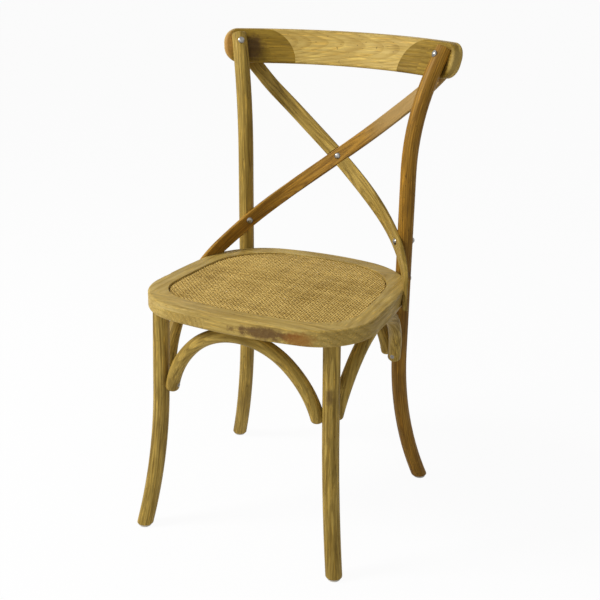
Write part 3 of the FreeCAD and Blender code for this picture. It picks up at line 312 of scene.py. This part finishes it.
def stains_and_painted_light(finish, colour, spots, stain_and_painted_shade):
    """A colour with ragged marks over it: stains, painted shade and painted light, brown where a
    mark has no colour of its own.
    """
    place = finish.place()
    ragged = finish.noise(place, STAIN_AND_PAINTED_LIGHT_EDGE_SCALE, 4.0, 0.65)
    ragged = finish.math("SUBTRACT", ragged, 0.5)
    for mark in spots:
        offset = finish.vector_math("SUBTRACT", place, mark["centre"])
        reach = finish.vector_math("LENGTH", finish.vector_math("DIVIDE", offset, mark["size"]))
        reach = finish.math("MULTIPLY_ADD", ragged, 2.2 * mark["rough"], reach)
        share = finish.span(reach, 1.0, 0.35, 0.0, mark["strength"])
        colour = finish.mix(share, colour, mark["colour"] or stain_and_painted_shade)
    return colour


def wood(name, light, dark, grain, seed, rings=0.0042, pith=(0.02, 0.05), taper=0.35,
         ring_strength=0.45, streak_strength=0.5, stain_strength=0.25, pore_strength=1.0,
         spots=(), sheen=0.48):
    """Waxed wood with growth rings, streaks, open pores, cloudy patches and stains, and the spots'
    painted shade and light.

    The rings lie a given distance apart around the pith, the tree's middle, which is given
    by its distance from the piece. The taper makes them run out along the grain."""
    colours = bpy.context.scene.chair_wood
    finish = Finish(name)
    along, across, through = grain(finish)
    place = finish.vector(finish.math("ADD", across, SEED_STEP[0] * seed),
                          finish.math("ADD", through, SEED_STEP[1] * seed),
                          finish.math("ADD", along, SEED_STEP[2] * seed))
    waver = finish.noise(place, WAVER_SCALE, output="Color")
    waver = finish.vector_math("SUBTRACT", waver, (0.5, 0.5, 0.5))
    wavy = finish.vector_math("MULTIPLY_ADD", waver, (WAVER_REACH, WAVER_REACH, 0.0), place)

    late = growth_rings(finish, wavy, seed, rings, pith, taper)
    streaks = finish.span(finish.noise(wavy, STREAK_SCALE, 4.0, 0.65), 0.42, 0.62)
    pores = finish.span(finish.noise(wavy, PORE_SCALE), 0.58, 0.68)
    cloud = finish.span(finish.noise(place, CLOUD_SCALE, 4.0, 0.6), 0.38, 0.62)
    patch = finish.span(finish.noise(place, PATCH_SCALE, 3.0, 0.6), 0.5, 0.72)
    specks = finish.span(finish.noise(place, SPECK_SCALE, 1.0), 0.70, 0.76)
    lighter = finish.span(finish.noise(place, LIGHT_STREAK_SCALE, 3.0, 0.6), 0.52, 0.68)
    dark_pores = finish.math("MULTIPLY", pores, finish.span(late, 0.0, 1.0, 0.30 * pore_strength,
                                                            0.60 * pore_strength))

    colour = finish.mix(cloud, light, [0.35 * a + 0.65 * b for a, b in zip(dark, light)])
    colour = finish.mix(finish.math("MULTIPLY", late, ring_strength), colour, dark)
    colour = finish.mix(finish.math("MULTIPLY", streaks, streak_strength), colour, dark)
    colour = finish.mix(finish.math("MULTIPLY", patch, stain_strength), colour, colours.stain_and_painted_shade)
    colour = finish.mix(dark_pores, colour, colours.pore)
    colour = finish.mix(finish.math("MULTIPLY", specks, 0.55), colour, colours.pore)
    colour = finish.mix(finish.math("MULTIPLY", lighter, 0.42), colour, LIGHT_STREAK, "OVERLAY")
    # The spots add stains, painted shade and painted light
    colour = stains_and_painted_light(finish, colour, spots, colours.stain_and_painted_shade)

    roughness = finish.math("MULTIPLY_ADD", streaks, 0.16, sheen)
    fibres = finish.noise(place, FIBRE_SCALE)
    height = finish.math("SUBTRACT", finish.math("MULTIPLY", fibres, 0.25), pores)
    finish.shader.inputs["Specular IOR Level"].default_value = WAX_GLOSS
    return finish.surface(colour, roughness, height, WOOD_RELIEF)


def dress(node, material):
    """Gives a CAD node its finish."""
    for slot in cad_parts[node].material_slots:
        slot.material = material


def new_piece(name, mesh, material, slot, *nodes):
    """A finished mesh that rides on the chair and stands for CAD nodes."""
    piece = bpy.data.objects.new(name, mesh)
    bpy.context.scene.collection.objects.link(piece)
    mesh.materials.clear()
    mesh.materials.append(material)
    for face in mesh.polygons:
        face.use_smooth = True
    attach(piece, "root")
    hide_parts(*nodes)
    return piece


class CHAIR_OT_stage(bpy.types.Operator):
    """Set the camera, the floor, the lamps and the world"""
    bl_idname = "chair.stage"
    bl_label = "Stage"

    CAMERA_PLACE = (0.77444, -1.67504, 1.08184)
    CAMERA_HEADING = 24.56
    CAMERA_HEIGHT_ANGLE = 19.993
    CAMERA_ROLL = 1.165
    CAMERA_LENS = 62.09
    SENSOR_WIDTH = 36.0
    LAMP_TARGET = Vector((0.0, 0.0, 0.45))
    LEFT_SOFTBOX = ((-1.9, -1.5, 2.4), 0.8, 78.0)
    FRONT_SOFTBOX = ((0.5, -3.4, 1.6), 1.6, 12.0)
    WHITE = (1.0, 1.0, 1.0, 1.0)
    SKY_STRENGTH = 0.288
    FLOOR_SIZE = 90.0
    FLOOR_COLOUR = (0.93, 0.93, 0.93, 1.0)
    FLOOR_WHITE_SHARE = 0.95

    def camera(self):
        heading = math.radians(self.CAMERA_HEADING)
        height = math.radians(self.CAMERA_HEIGHT_ANGLE)
        roll = math.radians(self.CAMERA_ROLL)
        back = Vector((math.sin(heading) * math.cos(height),
                       -math.cos(heading) * math.cos(height), math.sin(height)))
        right = Vector((math.cos(heading), math.sin(heading), 0.0))
        up = back.cross(right)
        turned_right = right * math.cos(roll) + up * math.sin(roll)
        turned_up = up * math.cos(roll) - right * math.sin(roll)
        data = bpy.data.cameras.new("photo_camera")
        data.lens = self.CAMERA_LENS
        data.sensor_width = self.SENSOR_WIDTH
        camera = bpy.data.objects.new("photo_camera", data)
        bpy.context.scene.collection.objects.link(camera)
        turn = Matrix((turned_right, turned_up, back)).transposed().to_4x4()
        camera.matrix_world = Matrix.Translation(self.CAMERA_PLACE) @ turn
        bpy.context.scene.camera = camera

    def lamp(self, name, place, size, energy):
        data = bpy.data.lights.new(name, "AREA")
        data.size = size
        data.energy = energy
        lamp = bpy.data.objects.new(name, data)
        bpy.context.scene.collection.objects.link(lamp)
        lamp.location = place
        direction = self.LAMP_TARGET - Vector(place)
        lamp.rotation_euler = direction.to_track_quat("-Z", "Y").to_euler()

    def white_share(self, tree, most):
        """Share of plain white: the most for camera, glossy and transmission rays, or none."""
        path = tree.nodes.new("ShaderNodeLightPath")
        seen = path.outputs["Is Camera Ray"]
        for name in ("Is Glossy Ray", "Is Transmission Ray"):
            either = tree.nodes.new("ShaderNodeMath")
            either.operation = "MAXIMUM"
            tree.links.new(seen, either.inputs[0])
            tree.links.new(path.outputs[name], either.inputs[1])
            seen = either.outputs[0]
        share = tree.nodes.new("ShaderNodeMath")
        share.operation = "MULTIPLY"
        share.inputs[1].default_value = most
        tree.links.new(seen, share.inputs[0])
        return share.outputs[0]

    def floor(self):
        build = bmesh.new()
        bmesh.ops.create_grid(build, x_segments=1, y_segments=1, size=self.FLOOR_SIZE / 2)
        mesh = bpy.data.meshes.new("floor")
        build.to_mesh(mesh)
        build.free()
        floor = bpy.data.objects.new("floor", mesh)
        bpy.context.scene.collection.objects.link(floor)
        material = bpy.data.materials.new("pale_floor")
        material.use_nodes = True
        tree = material.node_tree
        tree.nodes.clear()
        diffuse = tree.nodes.new("ShaderNodeBsdfDiffuse")
        diffuse.inputs["Color"].default_value = self.FLOOR_COLOUR
        white = tree.nodes.new("ShaderNodeEmission")
        mixed = tree.nodes.new("ShaderNodeMixShader")
        output = tree.nodes.new("ShaderNodeOutputMaterial")
        tree.links.new(self.white_share(tree, self.FLOOR_WHITE_SHARE), mixed.inputs[0])
        tree.links.new(diffuse.outputs[0], mixed.inputs[1])
        tree.links.new(white.outputs[0], mixed.inputs[2])
        tree.links.new(mixed.outputs[0], output.inputs[0])
        mesh.materials.append(material)

    def world(self):
        world = bpy.data.worlds.new("studio")
        bpy.context.scene.world = world
        world.use_nodes = True
        tree = world.node_tree
        tree.nodes.clear()
        soft = tree.nodes.new("ShaderNodeBackground")
        soft.inputs["Color"].default_value = self.WHITE
        soft.inputs["Strength"].default_value = self.SKY_STRENGTH
        white = tree.nodes.new("ShaderNodeBackground")
        white.inputs["Color"].default_value = self.WHITE
        mixed = tree.nodes.new("ShaderNodeMixShader")
        output = tree.nodes.new("ShaderNodeOutputWorld")
        tree.links.new(self.white_share(tree, 1.0), mixed.inputs[0])
        tree.links.new(soft.outputs[0], mixed.inputs[1])
        tree.links.new(white.outputs[0], mixed.inputs[2])
        tree.links.new(mixed.outputs[0], output.inputs[0])

    def execute(self, context):
        self.camera()
        self.floor()
        self.world()
        self.lamp("left_softbox", *self.LEFT_SOFTBOX)
        self.lamp("front_softbox", *self.FRONT_SOFTBOX)
        context.scene.view_settings.view_transform = "Standard"
        return {"FINISHED"}


class CHAIR_OT_back_rail(bpy.types.Operator):
    """Finish the laminated back rail"""
    bl_idname = "chair.back_rail"
    bl_label = "Back Rail"

    # Rail's ends beyond the posts, and painted shadow in the corners beside the posts
    LEFT_TIP = spot((-0.238, 0.15, 0.853), (0.030, 0.06, 0.05), 0.8, (0.46, 0.24, 0.062), 0.2)
    LEFT_PAINTED_SHADOW = spot((-0.182, 0.166, 0.852), (0.026, 0.05, 0.036), 0.85)
    RIGHT_TIP = spot((0.240, 0.14, 0.853), (0.026, 0.06, 0.04), 0.8, (0.50, 0.35, 0.10), 0.2)
    RIGHT_PAINTED_SHADOW = spot((0.209, 0.15, 0.850), (0.016, 0.05, 0.034), 0.8)

    def end_layers(self, colours, side, seed, spots):
        light, dark = colours.patch_light, colours.patch_dark
        dress("crest_block_" + side,
              wood("rail_block_" + side, light, dark, rail_grain, seed, rings=0.006,
                   pith=(0.03, 0.03), taper=1.0, stain_strength=0.3, spots=spots))
        dress("crest_end_" + side,
              wood("rail_end_" + side, light, dark, rail_grain, seed + 2, rings=0.005,
                   pith=(0.02, 0.03), taper=1.0, stain_strength=0.2, spots=spots))

    def execute(self, context):
        colours = context.scene.chair_wood
        dress("crest_core",
              wood("rail_core", colours.rail_light, colours.rail_dark, rail_grain, 3,
                   rings=0.0038, pith=(0.009, 0.030), taper=4.2, ring_strength=0.40,
                   streak_strength=0.26, stain_strength=0.16, pore_strength=0.6))
        # Each end gets its tip and the painted shadow beside its post
        self.end_layers(colours, "right", 5, (self.RIGHT_TIP, self.RIGHT_PAINTED_SHADOW))
        self.end_layers(colours, "left", 6, (self.LEFT_TIP, self.LEFT_PAINTED_SHADOW))
        return {"FINISHED"}


class CHAIR_OT_cross_strips(bpy.types.Operator):
    """Finish the two strips that cross in the back"""
    bl_idname = "chair.cross_strips"
    bl_label = "Crossing Strips"

    # The front strip's lighter upper part, and painted shade where the strips cross
    UPPER_PART = spot((0.14, 0.20, 0.77), (0.14, 0.12, 0.13), 0.75, (0.46, 0.30, 0.105), 0.2)
    FRONT_PAINTED_SHADE = spot((0.0, 0.19, 0.634), (0.03, 0.02, 0.006), 0.7)
    REAR_PAINTED_SHADE = spot((0.03, 0.19, 0.625), (0.025, 0.02, 0.01), 0.6)

    def execute(self, context):
        colours = context.scene.chair_wood
        dress("cross_strip_front",
              wood("front_strip", colours.orange_light, colours.orange_dark, strip_grain(-1), 11,
                   rings=0.0035, pith=(0.0, 0.03), taper=1.5, streak_strength=0.6,
                   spots=(self.UPPER_PART, self.FRONT_PAINTED_SHADE)))
        dress("cross_strip_rear",
              wood("rear_strip", colours.olive_light, colours.olive_dark, strip_grain(1), 12,
                   rings=0.0035, pith=(0.0, 0.03), taper=1.5, spots=(self.REAR_PAINTED_SHADE,)))
        return {"FINISHED"}


class CHAIR_OT_legs(bpy.types.Operator):
    """Finish the front legs and the long rear legs"""
    bl_idname = "chair.legs"
    bl_label = "Legs"

    # Painted shade where a rear leg meets the seat ring, and where an arch meets a front leg
    SEAT_PAINTED_SHADE = spot((0.171, 0.122, 0.455), (0.03, 0.03, 0.016), 0.65)
    ARCH_PAINTED_SHADE = spot((0.170, -0.228, 0.34), (0.012, 0.012, 0.02), 0.6)

    def execute(self, context):
        colours = context.scene.chair_wood
        olive = colours.olive_light, colours.olive_dark
        orange = colours.orange_light, colours.orange_dark
        front, rear = rod_grain(FRONT_LEG_BENDS), rod_grain(REAR_LEG_BENDS)
        dress("front_leg_right", wood("front_leg_right", *olive, front, 21,
                                      streak_strength=0.65, spots=(self.ARCH_PAINTED_SHADE,)))
        dress("front_leg_left", wood("front_leg_left", *olive, front, 22, streak_strength=0.6))
        dress("rear_leg_right", wood("rear_leg_right", *orange, rear, 23, streak_strength=0.6,
                                     spots=(self.SEAT_PAINTED_SHADE,)))
        dress("rear_leg_left", wood("rear_leg_left", *olive, rear, 24, streak_strength=0.45))
        return {"FINISHED"}


class CHAIR_OT_seat_ring(bpy.types.Operator):
    """Finish the four boards of the seat ring and the plywood"""
    bl_idname = "chair.seat_ring"
    bl_label = "Seat Ring"

    # Front edge: a pale length on the left that is painted light, then a brown stain and a reddish
    # one
    PAINTED_LIGHT_LEFT_EDGE = spot((-0.150, -0.262, 0.440), (0.120, 0.05, 0.024), 0.6, (0.68, 0.52, 0.20), 0.2)
    BROWN_STAIN = spot((0.060, -0.256, 0.444), (0.075, 0.03, 0.015), 0.8, (0.095, 0.040, 0.016),
                       0.8)
    RED_STAIN = spot((0.122, -0.25, 0.441), (0.036, 0.03, 0.018), 0.7, (0.28, 0.10, 0.012))
    CALM_GRAIN = {"rings": 0.009, "taper": 1.6, "ring_strength": 0.38, "streak_strength": 0.28,
                  "stain_strength": 0.22, "pore_strength": 0.5}

    def board(self, colours, side, axis, seed, pith, spots=()):
        dress("seat_rail_" + side,
              wood("ring_" + side, colours.ring_light, colours.ring_dark, straight_grain(axis),
                   seed, pith=pith, spots=spots, **self.CALM_GRAIN))

    def execute(self, context):
        colours = context.scene.chair_wood
        front_spots = (self.PAINTED_LIGHT_LEFT_EDGE, self.BROWN_STAIN, self.RED_STAIN)
        self.board(colours, "front", "X", 31, (-0.26, 0.42), front_spots)
        self.board(colours, "rear", "X", 32, (0.12, 0.40))
        self.board(colours, "right", "Y", 33, (0.15, 0.40), front_spots)
        self.board(colours, "left", "Y", 34, (-0.15, 0.40))
        dress("seat_board", wood("plywood", colours.plywood,
                                 [0.7 * part for part in colours.plywood], straight_grain("X"),
                                 35, rings=0.012, pith=(0.0, 0.3), stain_strength=0.1,
                                 sheen=0.6))
        return {"FINISHED"}


class CHAIR_OT_arches(bpy.types.Operator):
    """Finish the bent arches under the seat"""
    bl_idname = "chair.arches"
    bl_label = "Arches"

    def execute(self, context):
        colours = context.scene.chair_wood
        for seed, name in enumerate(("front", "rear", "left", "right"), start=41):
            dress("arch_" + name,
                  wood("arch_" + name, colours.olive_light, colours.olive_dark,
                       arch_grain(name in ("left", "right")), seed, pith=(0.10, 0.02),
                       taper=0.8))
        return {"FINISHED"}


class CHAIR_OT_fittings(bpy.types.Operator):
    """Finish the bolts, the nuts, the screws and the foot glides"""
    bl_idname = "chair.fittings"
    bl_label = "Fittings"

    BOLTS = ("crest_bolts", "crest_nuts", "cross_post_bolts", "cross_post_nuts",
             "cross_centre_bolt", "cross_centre_nut", "seat_post_bolts")
    SCREWS = ("strip_seat_screws", "arch_leg_screws", "arch_seat_screws", "seat_board_screws")
    RELIEF = 0.00005

    def steel(self, name, colour, roughness):
        """Worn steel with darker tarnish in clouds."""
        finish = Finish(name)
        place = finish.place()
        wear = finish.noise(place, (900.0, 900.0, 900.0), 3.0)
        tarnish = finish.span(finish.noise(place, (260.0, 260.0, 260.0), 3.0), 0.45, 0.7)
        shade = finish.mix(finish.math("MULTIPLY", tarnish, 0.6), colour,
                           [0.35 * part for part in colour])
        rough = finish.span(wear, 0.3, 0.7, roughness - 0.08, roughness + 0.12)
        return finish.surface(shade, rough, wear, self.RELIEF, metallic=1.0)

    def plastic(self, name, colour):
        """Pale plastic with dark scuffs."""
        finish = Finish(name)
        scuffs = finish.noise(finish.place(), (400.0, 400.0, 90.0), 4.0)
        shade = finish.mix(finish.span(scuffs, 0.5, 0.75, 0.0, 0.6), colour,
                           [0.45 * part for part in colour])
        return finish.surface(shade, finish.span(scuffs, 0.3, 0.7, 0.4, 0.6), scuffs, self.RELIEF)

    def execute(self, context):
        colours = context.scene.chair_fittings
        bolt_steel = self.steel("bolt_steel", colours.bolt, 0.30)
        screw_steel = self.steel("screw_steel", colours.screw, 0.40)
        for node in self.BOLTS:
            dress(node, bolt_steel)
        for node in self.SCREWS:
            dress(node, screw_steel)
        dress("foot_glides", self.plastic("glide_plastic", colours.glide))
        return {"FINISHED"}


class CHAIR_OT_seat_pad(bpy.types.Operator):
    """Make the thin crowned pad that the weave lies on"""
    bl_idname = "chair.seat_pad"
    bl_label = "Seat Pad"

    SAME_PLACE = 0.00002
    FLAT_ANGLE = math.radians(2.0)
    RIM_ANGLE = math.radians(50.0)
    RIM_LOWEST_Z = 0.4525
    RIM_ROUNDING = 0.0018

    def fabric(self, colour):
        finish = Finish("pad_fabric")
        threads = finish.noise(finish.place(), (700.0, 700.0, 700.0))
        shade = finish.mix(finish.span(threads, 0.35, 0.65), colour,
                           [0.6 * part for part in colour])
        return finish.surface(shade, 0.9, threads, relief=0.0003)

    def is_rim(self, edge):
        """Whether an edge is a sharp one around the pad's top."""
        high = min(vertex.co.z for vertex in edge.verts) > self.RIM_LOWEST_Z
        return high and edge.is_manifold and edge.calc_face_angle() > self.RIM_ANGLE

    def execute(self, context):
        material = self.fabric(context.scene.chair_seat.foam)
        build = bmesh.new()
        build.from_mesh(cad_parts["seat_padding"].data)
        bmesh.ops.remove_doubles(build, verts=build.verts, dist=self.SAME_PLACE)
        bmesh.ops.dissolve_limit(build, angle_limit=self.FLAT_ANGLE, verts=build.verts,
                                 edges=build.edges)
        rim = [edge for edge in build.edges if self.is_rim(edge)]
        bmesh.ops.bevel(build, geom=rim, offset=self.RIM_ROUNDING, affect="EDGES", segments=3,
                        profile=0.5, material=-1)
        bmesh.ops.triangulate(build, faces=build.faces)
        bmesh.ops.recalc_face_normals(build, faces=build.faces)
        mesh = bpy.data.meshes.new("seat_pad")
        build.to_mesh(mesh)
        build.free()
        pad = new_piece("seat_pad", mesh, material, "foam", "seat_padding")
        return {"FINISHED"}


class CHAIR_OT_seat_weave(bpy.types.Operator):
    """Weave the rattan panel, strand by strand"""
    bl_idname = "chair.seat_weave"
    bl_label = "Seat Weave"

    # In metres. The base and the sink are rises over the seat's crowned top
    WEAVE_REACH = 0.5
    SHORTEST_IN_PITCHES = 6
    WIDTH_IN_PITCHES = 0.80
    STRAND_BASE = -0.0003
    END_SINK = 0.0016
    END_MARGIN = 0.0012
    SIDEWAYS_FAULT = 0.00012
    PLACE_FAULT = 0.00006
    RISE_FAULT = 0.00005
    STRAND_GLOSS = 0.2

    def outline(self):
        """Edge of the plywood, which the strands' ends keep clear of."""
        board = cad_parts["seat_board"].data
        vertices = [vertex.co for vertex in board.vertices]
        faces = [face.vertices for face in board.polygons]
        self.edge = BVHTree.FromPolygons(vertices, faces)
        low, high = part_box("seat_board")
        self.edge_level = 0.4 * low.z + 0.6 * high.z

    def limits(self, start, direction):
        """Where a line across the board's outline goes in and out of it."""
        near = self.edge.ray_cast(start - direction, direction)[0]
        far = self.edge.ray_cast(start + direction, -direction)[0]
        if near is None or far is None:
            return None
        return (near - start).dot(direction), (far - start).dot(direction)

    def surface(self, x, y):
        """Height of the seat's crowned top."""
        squared = x * x + (y - SEAT_MIDDLE_Y) ** 2
        return SEAT_TOP - COVER_CROWN_RADIUS + math.sqrt(COVER_CROWN_RADIUS ** 2 - squared)

    def profile(self, name, width, height):
        """Closed outline of a flat strand, for the curves' bevel."""
        data = bpy.data.curves.new(name, "CURVE")
        spline = data.splines.new("POLY")
        spline.points.add(3)
        corners = ((-width / 2, 0.0), (0.0, height / 2), (width / 2, 0.0), (0.0, -height / 2))
        for point, (x, y) in zip(spline.points, corners):
            point.co = (x, y, 0.0, 1.0)
        spline.use_cyclic_u = True
        profile = bpy.data.objects.new(name, data)
        bpy.context.scene.collection.objects.link(profile)
        return profile

    def stations(self, index, low, high, pitch, wave, weft):
        """Distances and rises of a strand's points, with its ends sunk into the gap."""
        half = pitch / 2
        first = math.ceil((low + self.END_MARGIN) / half)
        last = math.floor((high - self.END_MARGIN) / half)
        found = [(low, self.STRAND_BASE - self.END_SINK)]
        for step in range(first, last + 1):
            rise = self.STRAND_BASE
            if step % 2 == 0:
                over = (step // 2 + index) % 2 == 0
                rise += -wave if over == weft else wave
            found.append((step * half, rise))
        found.append((high, self.STRAND_BASE - self.END_SINK))
        return found

    def strand(self, data, index, offset, along, across, pitch, settings, chance):
        """One strand over and under the strands that cross it."""
        start = Vector((0.0, SEAT_MIDDLE_Y, self.edge_level)) + across * offset
        found = self.limits(start, along)
        if found is None:
            return
        low, high = found[0] + settings.edge_gap, found[1] - settings.edge_gap
        if high - low < self.SHORTEST_IN_PITCHES * pitch:
            return
        stations = self.stations(index, low, high, pitch, settings.strand_wave, along.x != 0.0)
        spline = data.splines.new("POLY")
        spline.points.add(len(stations) - 1)
        sideways = chance.uniform(-self.SIDEWAYS_FAULT, self.SIDEWAYS_FAULT)
        for point, (distance, rise) in zip(spline.points, stations):
            fault = chance.uniform(-self.PLACE_FAULT, self.PLACE_FAULT)
            place = start + along * distance + across * (sideways + fault)
            rise += chance.uniform(-self.RISE_FAULT, self.RISE_FAULT)
            point.co = (place.x, place.y, self.surface(place.x, place.y) + rise, 1.0)

    def strands(self, name, along, across, own_pitch, cross_pitch, settings):
        """Mesh of all the strands that run one way."""
        chance = random.Random(settings.seed + len(name))
        data = bpy.data.curves.new(name, "CURVE")
        data.dimensions = "3D"
        data.twist_mode = "Z_UP"
        count = int(self.WEAVE_REACH / own_pitch)
        for index in range(-count // 2, count // 2 + 1):
            self.strand(data, index, index * own_pitch, along, across, cross_pitch, settings,
                        chance)
        profile = self.profile(name + "_profile", self.WIDTH_IN_PITCHES * own_pitch,
                               settings.strand_height)
        data.bevel_mode = "OBJECT"
        data.bevel_object = profile
        data.use_fill_caps = True
        curve = bpy.data.objects.new(name, data)
        bpy.context.scene.collection.objects.link(curve)
        bpy.context.view_layer.update()
        depsgraph = bpy.context.evaluated_depsgraph_get()
        mesh = bpy.data.meshes.new_from_object(curve.evaluated_get(depsgraph))
        bpy.data.objects.remove(curve)
        bpy.data.objects.remove(profile)
        return mesh

    def rattan(self, name, axis, pitch, settings):
        """Strands of slightly different tones, with fine fibres and clouds across them."""
        finish = Finish(name)
        place = finish.place()
        x, y, z = finish.parts(place)
        side, along = (x, y) if axis == "Y" else (finish.math("SUBTRACT", y, SEAT_MIDDLE_Y), x)
        fibre_scale = (400.0, 1500.0, 400.0) if axis == "Y" else (1500.0, 400.0, 400.0)
        number = finish.math("ROUND", finish.math("DIVIDE", side, pitch))
        pick = finish.add("ShaderNodeTexWhiteNoise", {"W": number}, noise_dimensions="1D")
        drift = finish.noise(finish.vector(number, finish.math("MULTIPLY", along, 60.0), 0.0),
                             (1.0, 1.0, 1.0))
        fibre = finish.noise(place, fibre_scale)
        cloud = finish.math("SUBTRACT", finish.noise(place, (12.0, 12.0, 12.0), 3.0), 0.5)
        share = finish.math("MULTIPLY_ADD", pick.outputs["Value"], 0.45,
                            finish.math("MULTIPLY", drift, 0.6))
        share = finish.math("MULTIPLY_ADD", cloud, 0.9, share)
        colour = finish.mix(finish.span(share, 0.25, 0.95), settings.strand_light,
                            settings.strand_dark)
        colour = finish.mix(finish.span(fibre, 0.55, 0.75, 0.0, 0.35), colour,
                            [0.45 * part for part in settings.strand_dark])
        finish.shader.inputs["Specular IOR Level"].default_value = self.STRAND_GLOSS
        return finish.surface(colour, finish.span(fibre, 0.3, 0.7, 0.45, 0.62), fibre,
                              relief=0.00012)

    def execute(self, context):
        settings = context.scene.chair_seat
        warp_pitch, weft_pitch = settings.warp_pitch, settings.weft_pitch
        depth, width = Vector((0.0, 1.0, 0.0)), Vector((1.0, 0.0, 0.0))
        self.outline()
        warp = self.strands("rattan_warp", depth, width, warp_pitch, weft_pitch, settings)
        weft = self.strands("rattan_weft", width, depth, weft_pitch, warp_pitch, settings)
        new_piece("rattan_warp", warp, self.rattan("rattan_warp", "Y", warp_pitch, settings),
                  "rattan", "rattan_cover")
        new_piece("rattan_weft", weft, self.rattan("rattan_weft", "X", weft_pitch, settings),
                  "rattan", "rattan_cover")
        return {"FINISHED"}


PIECE_OPERATORS = (
    CHAIR_OT_stage,
    CHAIR_OT_back_rail,
    CHAIR_OT_cross_strips,
    CHAIR_OT_legs,
    CHAIR_OT_seat_ring,
    CHAIR_OT_arches,
    CHAIR_OT_fittings,
    CHAIR_OT_seat_pad,
    CHAIR_OT_seat_weave,
)


class CHAIR_PT_panel(bpy.types.Panel):
    """Steps and settings of the chair"""
    bl_idname = "CHAIR_PT_panel"
    bl_label = "Cross Back Chair"
    bl_space_type = "VIEW_3D"
    bl_region_type = "UI"
    bl_category = "Chair"

    def draw(self, context):
        for operator in PIECE_OPERATORS:
            self.layout.operator(operator.bl_idname)
        for settings in (context.scene.chair_wood, context.scene.chair_seat,
                         context.scene.chair_fittings):
            box = self.layout.box()
            for name in settings.bl_rna.properties.keys():
                if name not in ("rna_type", "name"):
                    box.prop(settings, name)


CLASSES = (ChairWoodColours, ChairSeatSettings, ChairFittingColours,
           *PIECE_OPERATORS, CHAIR_PT_panel)


def register():
    for item in CLASSES:
        bpy.utils.register_class(item)
    bpy.types.Scene.chair_wood = PointerProperty(type=ChairWoodColours)
    bpy.types.Scene.chair_seat = PointerProperty(type=ChairSeatSettings)
    bpy.types.Scene.chair_fittings = PointerProperty(type=ChairFittingColours)


def unregister():
    del bpy.types.Scene.chair_fittings
    del bpy.types.Scene.chair_seat
    del bpy.types.Scene.chair_wood
    for item in reversed(CLASSES):
        bpy.utils.unregister_class(item)


def main():
    register()
    for operator in PIECE_OPERATORS:
        group, name = operator.bl_idname.split(".")
        getattr(getattr(bpy.ops, group), name)()


if __name__ == "__main__":
    main()
